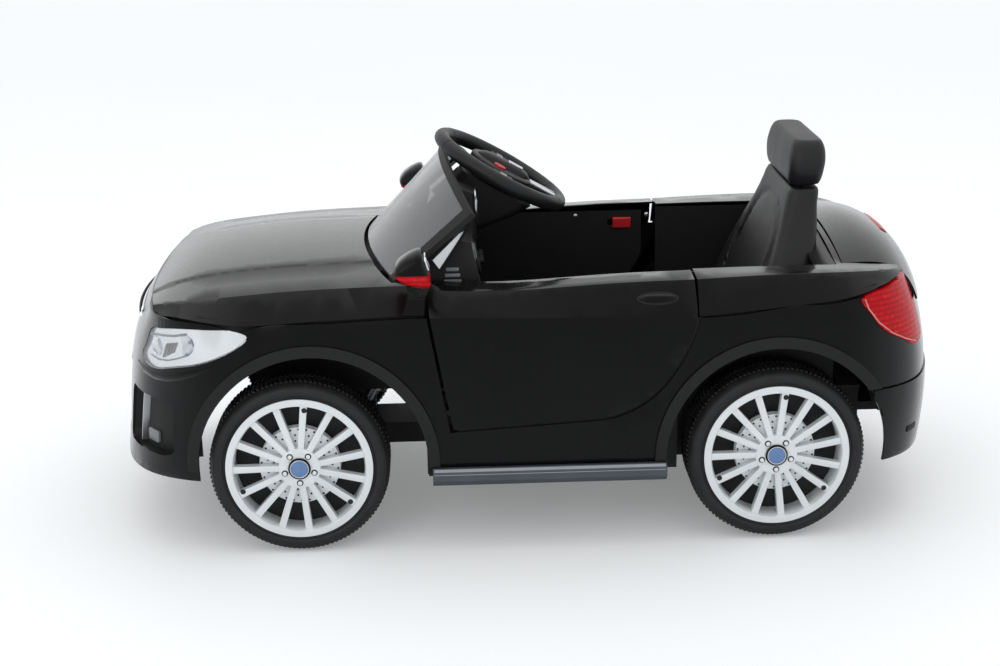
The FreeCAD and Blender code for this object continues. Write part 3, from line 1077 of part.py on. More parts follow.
knob = knob.makeFillet(2.0, [e for e in knob.Edges if e.CenterOfMass.y < DOOR_INNER_Y - 4.0])
tongue = box(LATCH_X - 8.0, LATCH_X + 8.0, DOOR_INNER_Y - 2.0, DOOR_INNER_Y + 8.0, LATCH_Z - 3.9,
             LATCH_Z + 3.9)
latch_left = largest(knob.fuse(tongue).removeSplitter())

# Wheels, drawn round the Z axis with the outer face up, then turned to face outward
def turned(points):
    return polygon_face([V(r, 0, w) for r, w in points]).revolve(ORIGIN, Z_DIR, 360.0)


def tyre_solid():
    width = TYRE_WIDTH
    inner = WHEEL_HUB_RADIUS + SEAT_FIT
    bead = RIM_FLANGE_RADIUS + 1.5
    low = [V(inner, 0, -width + 3.0), V(bead, 0, -width + 3.0)]
    high = [V(bead, 0, -3.0), V(inner, 0, -3.0)]
    side_low = [low[1], V(104.0, 0, -width), V(111.5, 0, -width + 3.5),
                V(TYRE_RADIUS - 1.0, 0, -width + 14.0)]
    side_high = [V(TYRE_RADIUS - 1.0, 0, -14.0), V(111.5, 0, -3.5), V(104.0, 0, 0.0), high[0]]
    crown = [side_low[-1], V(TYRE_RADIUS, 0, -width / 2.0), side_high[0]]
    edges = [line(low[0], low[1]), edge_through(side_low), edge_through(crown), edge_through(side_high)]
    edges += [line(high[0], high[1]), line(high[1], low[0])]
    solid = Part.Face(Part.Wire(edges)).revolve(ORIGIN, Z_DIR, 360.0)
    web_front = -RIM_DEPTH - SEAT_FIT
    web_back = web_front - WEB_THICK
    room = TYRE_RADIUS - TYRE_WALL
    seat = Part.makeCylinder(RIM_SEAT_RADIUS, RIM_DEPTH + SEAT_FIT + 1.0, V(0, 0, web_front))
    back = turned([(inner - 1.0, web_back), (RIM_FLANGE_RADIUS, web_back), (RIM_FLANGE_RADIUS, -TYRE_BEAD),
                   (room, -TYRE_BEAD), (room, -width - 1.0), (inner - 1.0, -width - 1.0)])
    return largest(solid.cut([seat, back]))


def rim_solid():
    inside = RIM_SEAT_RADIUS - RIM_WALL
    barrel = turned([(inside, -RIM_DEPTH), (RIM_SEAT_RADIUS, -RIM_DEPTH), (RIM_SEAT_RADIUS, -2.6),
                     (RIM_FLANGE_RADIUS, -2.6), (RIM_FLANGE_RADIUS, -0.6), (inside + 2.0, 0.0),
                     (inside, -6.0)])
    hub = Part.makeCylinder(WHEEL_HUB_RADIUS, WHEEL_HUB_DEPTH - 3.0, V(0, 0, -WHEEL_HUB_DEPTH))
    disc = Part.makeCylinder(DISC_RADIUS, 3.0, V(0, 0, -25.0))
    parts = [hub, disc]
    for number in range(SPOKE_COUNT):
        spoke = polygon_face([V(20.0, -SPOKE_WIDTH * 0.42, -4.5), V(inside + 1.0, -SPOKE_WIDTH / 2.0, -2.5),
                              V(inside + 1.0, SPOKE_WIDTH / 2.0, -2.5), V(20.0, SPOKE_WIDTH * 0.42, -4.5)])
        spoke = spoke.extrude(V(0, 0, -SPOKE_DEPTH))
        spoke.rotate(ORIGIN, Z_DIR, 360.0 * number / SPOKE_COUNT)
        parts.append(spoke)
    for number in range(LUG_COUNT):
        angle = math.radians(90.0 + 360.0 * number / LUG_COUNT)
        place = V(LUG_CIRCLE * math.cos(angle), LUG_CIRCLE * math.sin(angle), -4.0)
        parts.append(Part.makeCylinder(LUG_RADIUS, 2.6, place))
    body = barrel.fuse(parts)
    cuts = [Part.makeCylinder(AXLE_RADIUS + RUN_FIT, 100.0, V(0, 0, -90.0)),
            Part.makeCylinder(NUT_POCKET_RADIUS, NUT_POCKET_DEPTH + 5.0, V(0, 0, -3.0 - NUT_POCKET_DEPTH))]
    for number in range(DISC_HOLES):
        angle = math.radians(360.0 * number / DISC_HOLES)
        reach = 46.0 if number % 2 else 38.0
        cuts.append(Part.makeCylinder(2.2, 6.0, V(reach * math.cos(angle), reach * math.sin(angle), -27.0)))
    return largest(body.removeSplitter().cut(cuts))


def cap_solid():
    cap = Part.makeCylinder(CAP_RADIUS, 2.5, V(0, 0, -3.0))
    cap = cap.makeFillet(1.0, [cap.Edges[0]])
    plug = Part.makeCylinder(NUT_POCKET_RADIUS - 0.15, 4.0, V(0, 0, -6.0))
    plug = plug.cut(Part.makeCylinder(NUT_POCKET_RADIUS - 1.8, 3.0, V(0, 0, -6.0)))
    return largest(cap.fuse(plug).removeSplitter())


def at_wheel(shape, x, side):
    placed = shape.copy()
    placed.rotate(ORIGIN, X_DIR, -90.0)
    placed.translate(V(x, WHEEL_FACE_Y, AXLE_Z))
    if side < 0:
        return mirrored(placed)
    return placed


tyre = tyre_solid()
wheel_rim = rim_solid()
hub_cap = cap_solid()

nodes = {
    "body_shell": body_shell, "hood": hood, "rear_deck": rear_deck, "trunk_lid": trunk_lid,
    "rear_bumper": rear_bumper, "grille": grille,
    "nose_trays": nose_trays, "headlight_lenses": both_sides(lens_left),
    "headlight_reflectors": both_sides(reflector_left),
    "arch_trims": arch_trims, "tail_lamps": both_sides(tail_lamp_left),
    "windshield": windshield, "windshield_frame": windshield_frame,
    "mirror_left": mirror_left, "mirror_right": mirrored(mirror_left),
    "mirror_lamps": both_sides(mirror_lamp), "mirror_glasses": both_sides(mirror_glass),
    "side_skirts": skirts, "chassis_tub": chassis_tub, "cabin_trims": cabin_trims, "dashboard": dashboard,
    "seat": seat, "headrest": headrest, "battery": battery, "charging_socket": charging_socket,
    "rear_axle": rear_axle, "rear_axle_nuts": rear_axle_nuts, "front_axle_beam": front_axle_beam,
    "kingpins": kingpins, "gearbox_case": gearbox_case, "motor": motor, "motor_pinion": motor_pinion,
    "drive_gear": drive_gear, "steering_column": steering_column, "steering_wheel": steering_wheel,
    "horn_button_left": horn_button_left, "horn_button_right": mirrored(horn_button_left),
         "tie_rod": tie_rod,
    "knuckle_left": knuckle_left, "knuckle_right": mirrored(knuckle_left),
    "door_left": door_left, "door_right": mirrored(door_left),
    "door_inner_left": door_inner_left, "door_inner_right": mirrored(door_inner_left),
    "latch_left": latch_left, "latch_right": mirrored(latch_left),
    "foot_pedal": foot_pedal, "direction_switch": direction_switch}
for corner, wheel_x, side in (("fl", FRONT_AXLE_X, 1), ("fr", FRONT_AXLE_X, -1), ("rl", REAR_AXLE_X, 1),
                              ("rr", REAR_AXLE_X, -1)):
    nodes["tyre_" + corner] = at_wheel(tyre, wheel_x, side)
    nodes["wheel_" + corner] = at_wheel(wheel_rim, wheel_x, side)
    nodes["hub_cap_" + corner] = at_wheel(hub_cap, wheel_x, side)

os.makedirs("parts", exist_ok=True)
for name, shape in nodes.items():
    shape.exportStep("parts/" + name + ".step")
print(len(nodes), "pieces", sum(len(shape.Solids) for shape in nodes.values()), "solids")
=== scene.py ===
import bmesh
import bpy
import json
import math
from mathutils import Matrix, Vector
from mathutils.bvhtree import BVHTree


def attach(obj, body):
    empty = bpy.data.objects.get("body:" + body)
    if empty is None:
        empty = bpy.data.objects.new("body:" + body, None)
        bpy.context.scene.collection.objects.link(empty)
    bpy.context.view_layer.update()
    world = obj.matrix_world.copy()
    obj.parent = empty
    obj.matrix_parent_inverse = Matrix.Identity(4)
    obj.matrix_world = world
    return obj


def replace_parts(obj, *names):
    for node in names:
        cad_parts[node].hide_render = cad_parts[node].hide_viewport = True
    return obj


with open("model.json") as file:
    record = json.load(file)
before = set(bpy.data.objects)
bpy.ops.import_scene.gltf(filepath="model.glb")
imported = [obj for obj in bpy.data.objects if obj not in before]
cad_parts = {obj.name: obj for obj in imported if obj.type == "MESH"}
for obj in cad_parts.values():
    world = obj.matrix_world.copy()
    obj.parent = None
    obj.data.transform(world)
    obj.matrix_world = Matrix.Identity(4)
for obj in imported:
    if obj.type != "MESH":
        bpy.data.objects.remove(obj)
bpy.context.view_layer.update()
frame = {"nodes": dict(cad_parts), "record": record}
NODES = frame["nodes"]
BODY_OF = {node: body for body, nodes in frame["record"]["behaviour"]["bodies"].items() for node in nodes}
SLOT_OF = {row["node"]: row["material_slot"] for row in frame["record"]["subparts"]}
MM = 0.001
UP = Vector((0.0, 0.0, 1.0))
SIDES = ((1.0, "left"), (-1.0, "right"))

# A Mix node's sockets for colours
MIX_SHARE = 0
MIX_FIRST = 6
MIX_SECOND = 7
MIX_RESULT = 2


class Tap:
    """One value in a finish, ready for sums with other values and numbers."""

    def __init__(self, finish, socket):
        self.finish = finish
        self.socket = socket

    def reckon(self, operation, first, second):
        return self.finish.node("Math", {"operation": operation}, {0: first, 1: second})

    def __add__(self, other):
        return self.reckon("ADD", self, other)

    def __radd__(self, other):
        return self.reckon("ADD", other, self)

    def __sub__(self, other):
        return self.reckon("SUBTRACT", self, other)

    def __rsub__(self, other):
        return self.reckon("SUBTRACT", other, self)

    def __mul__(self, other):
        return self.reckon("MULTIPLY", self, other)

    def __rmul__(self, other):
        return self.reckon("MULTIPLY", other, self)

    def __pow__(self, other):
        return self.reckon("POWER", self, other)

    def __rpow__(self, other):
        return self.reckon("POWER", other, self)


class Finish:
    """A material's node tree, or the studio's."""

    def __init__(self, owner):
        self.owner = owner
        owner.use_nodes = True
        self.tree = owner.node_tree
        self.tree.nodes.clear()

    def node(self, kind, settings, sockets, out=0):
        made = self.tree.nodes.new("ShaderNode" + kind)
        for name, value in settings.items():
            setattr(made, name, value)
        for name, value in sockets.items():
            if isinstance(value, Tap):
                self.tree.links.new(value.socket, made.inputs[name])
            else:
                made.inputs[name].default_value = value
        return Tap(self, made.outputs[out]) if made.outputs else None

    def place(self):
        return self.node("TexCoord", {}, {}, "Object")

    def cloud(self, size, detail=2.0):
        return self.node("TexNoise", {}, {"Vector": self.place(), "Scale": 1.0 / size, "Detail": detail})

    def cells(self, size):
        return self.node("TexVoronoi", {}, {"Vector": self.place(), "Scale": 1.0 / size})

    def edge(self, blend):
        return self.node("LayerWeight", {}, {"Blend": blend}, "Facing")

    def ray(self, kind):
        return self.node("LightPath", {}, {}, kind)

    def between(self, share, first, second):
        return self.node("Mix", {"data_type": "RGBA"},
                         {MIX_SHARE: share, MIX_FIRST: (*first, 1.0), MIX_SECOND: (*second, 1.0)}, MIX_RESULT)

    def relief(self, height, depth):
        return self.node("Bump", {}, {"Strength": 1.0, "Distance": depth, "Height": height})

    def close(self, sockets):
        surface = self.node("BsdfPrincipled", {}, sockets)
        self.node("OutputMaterial", {}, {"Surface": surface})
        return self.owner


def named_finish(name):
    return Finish(bpy.data.materials.new(name))


def gloss_moulding():
    """Black that stays dark when looked at straight and takes up the room at a slant."""
    f = named_finish("black_gloss_moulding")
    mottle = f.cloud(0.09, 3.0)
    wiped = f.cloud(0.018, 4.0)
    return f.close({"Base Color": f.between(mottle, (0.0025, 0.0025, 0.0027), (0.0042, 0.0042, 0.0045)),
                    "Roughness": 0.2 + 0.1 * mottle + 0.06 * wiped,
                    "Specular IOR Level": 0.1, "Coat Weight": f.edge(0.5) ** 0.9, "Coat Roughness": 0.12,
                    "Normal": f.relief(f.cloud(0.0035, 1.0), 0.00001)})


def grained_moulding(name, dark, pale, rough, grain, depth):
    f = named_finish(name)
    patch = f.cloud(0.05, 3.0)
    pores = f.cells(grain)
    return f.close({"Base Color": f.between(patch, dark, pale),
                    "Roughness": rough + 0.12 * patch,
                    "Specular IOR Level": 0.3,
                    "Normal": f.relief(pores + 0.4 * f.cloud(grain * 0.5), depth)})


def silver_paint():
    f = named_finish("silver_wheel_paint")
    flake = f.cells(0.0007)
    haze = f.cloud(0.03, 3.0)
    return f.close({"Base Color": f.between(haze, (0.74, 0.77, 0.78), (0.84, 0.87, 0.88)),
                    "Metallic": 0.16 + 0.16 * flake,
                    "Roughness": 0.3 + 0.1 * haze,
                    "Normal": f.relief(flake, 0.000012)})


def bright_plating(name, shade, rough):
    f = named_finish(name)
    haze = f.cloud(0.025, 3.0)
    return f.close({"Base Color": shade, "Metallic": 1.0, "Roughness": rough + 0.06 * haze,
                    "Normal": f.relief(f.cloud(0.006), 0.00002)})


def clear_cover():
    f = named_finish("clear_lamp_cover")
    return f.close({"Base Color": (0.9, 0.94, 0.97, 1.0), "Roughness": 0.04 + 0.05 * f.cloud(0.02),
                    "Alpha": 0.05 + 0.3 * f.edge(0.25), "Specular IOR Level": 0.6})


def smoked_sheet():
    f = named_finish("smoked_screen_sheet")
    haze = f.cloud(0.08, 2.0)
    return f.close({"Base Color": f.between(haze, (0.085, 0.089, 0.094), (0.105, 0.109, 0.114)),
                    "Roughness": 0.1 + 0.08 * haze, "Alpha": 0.66 + 0.04 * haze, "Specular IOR Level": 0.55,
                    "Coat Weight": 1.0, "Coat Roughness": 0.06})


def red_cover():
    f = named_finish("red_lamp_cover")
    prisms = f.cells(0.006)
    bands = f.node("TexWave", {"bands_direction": "Z"},
                   {"Vector": f.place(), "Scale": 45.0, "Distortion": 1.2, "Detail": 1.0})
    return f.close({"Base Color": f.between(prisms * bands, (0.38, 0.001, 0.004), (0.78, 0.008, 0.016)),
                    "Roughness": 0.16 + 0.15 * prisms, "Coat Weight": 0.12, "Coat Roughness": 0.03,
                    "Specular IOR Level": 0.12,
                    "Normal": f.relief(prisms + 0.4 * bands, 0.0002)})


def red_moulding():
    f = named_finish("red_moulding")
    haze = f.cloud(0.004, 2.0)
    return f.close({"Base Color": f.between(haze, (0.42, 0.008, 0.012), (0.56, 0.016, 0.02)),
                    "Roughness": 0.3 + 0.1 * haze, "Normal": f.relief(haze, 0.00004)})


def skirt_paint():
    f = named_finish("grey_blue_skirt_paint")
    flake = f.cells(0.0006)
    drift = f.cloud(0.05, 2.0)
    return f.close({"Base Color": f.between(drift, (0.055, 0.066, 0.078), (0.085, 0.098, 0.112)),
                    "Metallic": 0.4 + 0.2 * flake, "Roughness": 0.32 + 0.1 * drift,
                    "Normal": f.relief(flake, 0.00001)})


def tyre_moulding():
    f = named_finish("tyre_moulding")
    dust = f.cloud(0.02, 4.0)
    return f.close({"Base Color": f.between(dust ** 2.0, (0.010, 0.010, 0.0105), (0.026, 0.026, 0.027)),
                    "Roughness": 0.42 + 0.18 * dust, "Specular IOR Level": 0.3,
                    "Normal": f.relief(f.cloud(0.0016, 3.0), 0.00008)})


def zinc_plate():
    f = named_finish("zinc_plate")
    spangle = f.cells(0.004)
    streak = f.cloud(0.012, 4.0)
    return f.close({"Base Color": f.between(streak, (0.32, 0.32, 0.33), (0.52, 0.52, 0.53)), "Metallic": 0.9,
                    "Roughness": 0.3 + 0.2 * spangle, "Normal": f.relief(streak, 0.0001)})


def plain_moulding(name, dark, pale, rough, size):
    f = named_finish(name)
    haze = f.cloud(size, 3.0)
    return f.close({"Base Color": f.between(haze, dark, pale), "Roughness": rough + 0.1 * haze,
                    "Normal": f.relief(f.cloud(size * 0.2), 0.00003)})


GLOSS_BLACK = gloss_moulding()
CABIN_BLACK = grained_moulding("matte_cabin_moulding", (0.0045, 0.0045, 0.0045), (0.008, 0.008, 0.008),
                               rough=0.5, grain=0.0016, depth=0.00012)
SEAT_BLACK = grained_moulding("satin_seat_moulding", (0.007, 0.007, 0.0075), (0.013, 0.013, 0.014),
                              rough=0.36, grain=0.0013, depth=0.00006)
WHEEL_SILVER = silver_paint()
CHROME = bright_plating("bright_chrome", (0.83, 0.84, 0.86, 1.0), rough=0.07)
SATIN_CHROME = bright_plating("satin_chrome", (0.62, 0.63, 0.65, 1.0), rough=0.26)
CLEAR = clear_cover()
CLEAR_BALL = plain_moulding("lamp_ball_glass", (0.30, 0.33, 0.36), (0.42, 0.45, 0.48), rough=0.05, size=0.01)
LAMP_GREY = plain_moulding("lamp_grey_moulding", (0.16, 0.165, 0.17), (0.24, 0.245, 0.25), rough=0.3, size=0.01)
# Painted reflection: quarter lights coloured pale for the bright room they reflect
QUARTER_REFLECTION_PAINT = plain_moulding("quarter_light_painted_reflection", (0.70, 0.73, 0.75), (0.80, 0.83, 0.85), rough=0.08, size=0.03)
# Painted highlight: pale strips laid along the skirts
SKIRT_HIGHLIGHT_PAINT = plain_moulding("skirt_painted_highlight", (0.27, 0.29, 0.32), (0.34, 0.36, 0.39), rough=0.2, size=0.02)
# Painted highlight: a pale cord along each tail lamp's edge
TAIL_HIGHLIGHT_PAINT = plain_moulding("tail_edge_painted_highlight", (0.62, 0.22, 0.20), (0.74, 0.34, 0.30), rough=0.2, size=0.01)
SMOKED = smoked_sheet()
RED_COVER = red_cover()
RED = red_moulding()
MIRROR_FOIL = bright_plating("mirror_foil", (0.8, 0.82, 0.84, 1.0), rough=0.03)
SKIRT = skirt_paint()
TYRE = tyre_moulding()
ZINC = zinc_plate()
NYLON = plain_moulding("natural_nylon", (0.62, 0.60, 0.54), (0.72, 0.70, 0.64), rough=0.45, size=0.02)
BATTERY_GREY = plain_moulding("battery_case_grey", (0.05, 0.05, 0.055), (0.07, 0.07, 0.075), rough=0.5, size=0.03)
CAP_BLUE = plain_moulding("cap_enamel", (0.10, 0.20, 0.42), (0.16, 0.28, 0.52), rough=0.18, size=0.006)
FINISH_OF_SLOT = {"body_plastic": GLOSS_BLACK, "cabin_plastic": CABIN_BLACK, "seat_plastic": SEAT_BLACK,
                  "bright_chrome": CHROME, "clear_lens": CLEAR, "smoked_screen": SMOKED, "red_lens": RED_COVER,
                  "red_plastic": RED, "mirror_face": MIRROR_FOIL, "skirt_paint": SKIRT, "wheel_silver": WHEEL_SILVER,
                  "cap_blue": CAP_BLUE, "tyre_plastic": TYRE, "steel": ZINC, "gear_plastic": NYLON,
                  "battery_case": BATTERY_GREY}


def shaped(name, bm, finish, body, sharp=32.0):
    """A new piece from a bmesh in millimetres, riding on a body."""
    bmesh.ops.remove_doubles(bm, verts=bm.verts, dist=0.0005)
    bmesh.ops.recalc_face_normals(bm, faces=bm.faces[:])
    bmesh.ops.scale(bm, vec=(MM, MM, MM), verts=bm.verts)
    mesh = bpy.data.meshes.new(name)
    bm.to_mesh(mesh)
    bm.free()
    mesh.materials.append(finish)
    mesh.shade_smooth()
    mesh.set_sharp_from_angle(angle=math.radians(sharp))
    piece = bpy.data.objects.new(name, mesh)
    bpy.context.scene.collection.objects.link(piece)
    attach(piece, body)
    return piece


def moulded_copy(node, rounding=0.0, sharp=32.0):
    """The node's own surface, merged and smooth, with its edges eased."""
    bm = bmesh.new()
    bm.from_mesh(NODES[node].data)
    bmesh.ops.remove_doubles(bm, verts=bm.verts, dist=2e-6)
    bmesh.ops.scale(bm, vec=(1.0 / MM, 1.0 / MM, 1.0 / MM), verts=bm.verts)
    piece = shaped(node + "_moulding", bm, FINISH_OF_SLOT[SLOT_OF[node]], BODY_OF[node], sharp)
    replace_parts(piece, node)
    if rounding:
        ease = piece.modifiers.new("eased_edges", "BEVEL")
        ease.width = rounding * MM
        ease.segments = 2
        ease.limit_method = "ANGLE"
        ease.angle_limit = math.radians(sharp)
        ease.harden_normals = True
    return piece


def padded_copy(node, grain, passes):
    """The node's own form with every edge drawn soft, as blown or padded pieces have."""
    piece = moulded_copy(node)
    close = piece.modifiers.new("one_skin", "REMESH")
    close.mode = "VOXEL"
    close.voxel_size = grain * MM
    close.use_smooth_shade = True
    ease = piece.modifiers.new("soft_edges", "SMOOTH")
    ease.factor = 0.5
    ease.iterations = passes
    return piece


def lathe(bm, profile, steps, place=Matrix()):
    """A closed outline of radius and height, spun once round the Z axis of a place."""
    ring = [bm.verts.new(place @ Vector((radius, 0.0, height))) for radius, height in profile]
    edges = [bm.edges.new(pair) for pair in zip(ring, ring[1:] + ring[:1])]
    bmesh.ops.spin(bm, geom=ring + edges, axis=place.col[2].to_3d(), cent=place.translation, dvec=(0.0, 0.0, 0.0),
                   angle=2.0 * math.pi, steps=steps, use_merge=True, use_duplicate=False)


def drawn_out(bm, face):
    """A face extruded in place; the new end keeps the order of its corners."""
    made = bmesh.ops.extrude_face_region(bm, geom=[face] + list(face.edges))["geom"]
    return next(part for part in made if isinstance(part, bmesh.types.BMFace))


def carried(bm, rows):
    """A closed section drawn out through the ones that follow it, into a bar with closed ends."""
    ring = [bm.verts.new(point) for point in rows[0]]
    start = end = bm.faces.new(ring)
    for row in rows[1:]:
        end = drawn_out(bm, end)
        for vert, point in zip(end.verts, row):
            vert.co = point
    # Both ends are closed again, turned outward
    far = list(end.verts)
    bm.faces.remove(start)
    bm.faces.remove(end)
    return bm.faces.new(ring[::-1]), bm.faces.new(far)


def slab(bm, outline, thick, ease, place=Matrix()):
    """A flat outline raised along the Z axis of a place, its edges eased."""
    low, high = carried(bm, [[place @ Vector((x, y, level)) for x, y in outline] for level in (0.0, thick)])
    sides = [edge for vert in low.verts for edge in vert.link_edges]
    edges = list(dict.fromkeys(list(low.edges) + list(high.edges) + sides))
    bmesh.ops.bevel(bm, geom=edges, offset=ease, offset_type="OFFSET", affect="EDGES", segments=2, profile=0.5,
                    material=-1, clamp_overlap=True)


def cord_along(bm, points, radius, sides=8):
    """A round bar through points."""
    leaning = Vector((0.12, 0.2, 0.97))
    points = [Vector(point) for point in points]
    rows = []
    for number, point in enumerate(points):
        run = (points[min(number + 1, len(points) - 1)] - points[max(number - 1, 0)]).normalized()
        across = run.cross(leaning).normalized()
        over = across.cross(run)
        rows.append([point + radius * (math.cos(turn) * across + math.sin(turn) * over)
                     for turn in [2.0 * math.pi * k / sides for k in range(sides)]])
    carried(bm, rows)


def with_mirror(bm):
    """The same shape again on the right side of the car."""
    again = bmesh.ops.duplicate(bm, geom=bm.verts[:] + bm.edges[:] + bm.faces[:])["geom"]
    verts = [part for part in again if isinstance(part, bmesh.types.BMVert)]
    bmesh.ops.scale(bm, vec=(1.0, -1.0, 1.0), verts=verts)
    return bm


def facing(place, out, up=UP):
    """A frame at a place, its Z axis pointing out and its Y axis as near up as it can be."""
    out = Vector(out).normalized()
    across = Vector(up).cross(out).normalized()
    turn = Matrix((across, out.cross(across), out)).transposed().to_4x4()
    return Matrix.Translation(place) @ turn


def rounded(half_x, half_y, corner, steps=4):
    """A rectangle with round corners, as an outline."""
    points = []
    for quarter, (sx, sy) in enumerate(((1, 1), (-1, 1), (-1, -1), (1, -1))):
        for k in range(steps + 1):
            turn = math.pi / 2.0 * (quarter + k / steps)
            points.append((sx * (half_x - corner) + corner * math.cos(turn),
                           sy * (half_y - corner) + corner * math.sin(turn)))
    return points


def across_car(half, steps):
    """Even places from the car's right side to its left."""
    return [-half + 2.0 * half * number / steps for number in range(steps + 1)]


def skin_of(node):
    bm = bmesh.new()
    bm.from_mesh(NODES[node].data)
    tree = BVHTree.FromBMesh(bm)
    bm.free()
    return tree


def touch(skin, start, toward):
    """Where a straight line first meets a skin, in millimetres, and how that skin faces there."""
    place, out, _, _ = skin.ray_cast(Vector(start) * MM, Vector(toward).normalized())
    return place / MM, out


for name, node in NODES.items():
    node.data.materials.clear()
    node.data.materials.append(FINISH_OF_SLOT[SLOT_OF[name]])

EASED_EDGE = 0.8
for name in ("body_shell", "hood", "rear_deck", "trunk_lid", "rear_bumper", "door_left", "door_right",
             "windshield_frame", "side_skirts", "arch_trims", "dashboard", "steering_wheel", "latch_left",
             "latch_right"):
    moulded_copy(name, EASED_EDGE)
moulded_copy("windshield")
padded_copy("seat", grain=4.5, passes=6)
padded_copy("headrest", grain=4.0, passes=10)

# Wheels: each is drawn lying flat, its outer face at height 0, and then stood up on its axle
FRONT_AXLE_X = 305.0
REAR_AXLE_X = -315.0
AXLE_Z = 117.0
WHEEL_FACE_Y = 262.0
RIM_EASE = 0.55
RIM_SHARP = 24.0
TREAD_BASE = 115.2
TREAD_TOP = 116.9
TREAD_SINK = 0.4
TREAD_RIBS = 116
RIB_FOOT = 0.017
RIB_CREST = 0.012
RIB_LEAN = 0.02
OUTER_RIB = (-12.6, -34.2)
INNER_RIB = (-37.8, -59.0)
TYRE_OUTLINE = ((88.2, -2.9), (95.6, -2.9), (96.6, -2.3), (98.0, -1.2), (98.9, -1.9), (99.8, -0.9), (101.6, -0.2),
                (104.0, 0.0), (107.0, -0.7), (109.6, -2.0), (110.4, -3.1), (111.4, -2.9), (113.2, -5.6),
                (114.6, -9.0), (TREAD_BASE, -13.0), (TREAD_BASE, -34.5), (113.6, -35.0), (113.6, -37.0),
                (TREAD_BASE, -37.5), (TREAD_BASE, -59.0), (114.4, -64.0), (113.2, -67.4), (112.6, -66.0),
                (112.6, -8.2), (95.2, -8.2), (95.2, -34.2), (27.6, -34.2), (27.6, -30.4), (88.2, -30.4))
FIXING_TURNS = (143.0, 22.0, 263.0)
FIXING_CIRCLE = 80.0
FIXING_HEIGHT = -3.4
FIXING_OUTLINE = ((0.0, 0.0), (3.4, 0.0), (3.6, 0.8), (2.9, 1.4), (0.0, 1.2))
BOLT_TURNS = (90.0, 162.0, 234.0, 306.0, 378.0)
BOLT_CIRCLE = 20.0
BOLT_HEIGHT = -3.0
BOLT_OUTLINE = ((0.0, 0.0), (2.9, 0.0), (3.0, 1.8), (2.5, 2.4), (1.5, 2.5), (1.3, 1.9), (0.0, 1.8))
BOLT_RING_HEIGHT = -3.3
BOLT_RING_OUTLINE = ((2.6, 0.0), (4.3, 0.0), (4.3, 0.5), (2.6, 0.6))
DISC_OUTLINE = ((23.0, -17.4), (51.4, -17.4), (52.4, -16.8), (52.4, -15.4), (51.8, -14.8), (23.0, -14.8))
DRILLING_HEIGHT = -14.9
DRILLING_OUTLINE = ((0.0, 0.0), (1.5, 0.0), (1.3, 0.4), (0.0, 0.4))
DRILLING_CIRCLES = ((34.0, 24, 0.5), (42.0, 30, 0.0), (49.5, 30, 0.5))
CAP_RING_OUTLINE = ((0.0, -6.0), (12.8, -6.0), (12.8, -3.0), (14.5, -3.0), (14.5, -1.3), (14.0, -0.5), (12.6, -0.3),
                    (11.4, -0.9), (0.0, -0.9))
CAP_DOME_OUTLINE = ((0.0, -1.4), (11.2, -1.4), (11.2, -0.7), (10.2, -0.2), (6.0, 0.4), (0.0, 0.6))
CAP_BAND_OUTLINE = ((11.1, -1.2), (12.4, -1.2), (12.3, -0.15), (11.8, 0.05), (11.2, -0.2))


def wheel_place(x, side):
    turn = Matrix(((1.0, 0.0, 0.0), (0.0, 0.0, side), (0.0, -1.0, 0.0))).to_4x4()
    return Matrix.Translation((x, side * WHEEL_FACE_Y, AXLE_Z)) @ turn


def round_axle(place, reach, turn, height):
    """A place on a circle round the wheel's own axis."""
    return place @ Matrix.Translation((reach * math.cos(turn), reach * math.sin(turn), height))


def turned(outline, steps, place):
    bm = bmesh.new()
    lathe(bm, outline, steps, place)
    return bm


def tread_rib(bm, turn, reach, lean):
    """One low rib across half the tread."""
    rows = []
    for height, shift in zip(reach, (0.0, lean)):
        rows.append([])
        for radius, spread in ((TREAD_BASE - TREAD_SINK, -RIB_FOOT), (TREAD_BASE - TREAD_SINK, RIB_FOOT),
                               (TREAD_TOP, RIB_CREST), (TREAD_TOP, -RIB_CREST)):
            at = turn + shift + spread
            rows[-1].append((radius * math.cos(at), radius * math.sin(at), height))
    carried(bm, rows)


def tyre_shape(place):
    bm = bmesh.new()
    lathe(bm, TYRE_OUTLINE, steps=112)
    for number in range(TREAD_RIBS):
        turn = 2.0 * math.pi * number / TREAD_RIBS
        tread_rib(bm, turn, OUTER_RIB, RIB_LEAN)
        tread_rib(bm, turn + RIB_LEAN, INNER_RIB, -RIB_LEAN)
    bmesh.ops.transform(bm, matrix=place, verts=bm.verts)
    return bm


def rim_painted_hole_shade(place):
    """Dark insets of a wheel, painted shade for the dark inside of its holes and recesses: fixing holes near the edge,
    rings round the bolts, drillings of the disc.
    """
    bm = bmesh.new()
    for degrees in FIXING_TURNS:
        lathe(bm, FIXING_OUTLINE, 14, round_axle(place, FIXING_CIRCLE, math.radians(degrees), FIXING_HEIGHT))
    for degrees in BOLT_TURNS:
        lathe(bm, BOLT_RING_OUTLINE, 18, round_axle(place, BOLT_CIRCLE, math.radians(degrees), BOLT_RING_HEIGHT))
    for reach, count, shift in DRILLING_CIRCLES:
        for number in range(count):
            turn = 2.0 * math.pi * (number + shift) / count
            lathe(bm, DRILLING_OUTLINE, 8, round_axle(place, reach, turn, DRILLING_HEIGHT))
    return bm


def rim_bolts(place):
    bm = bmesh.new()
    for degrees in BOLT_TURNS:
        lathe(bm, BOLT_OUTLINE, 12, round_axle(place, BOLT_CIRCLE, math.radians(degrees), BOLT_HEIGHT))
    return bm


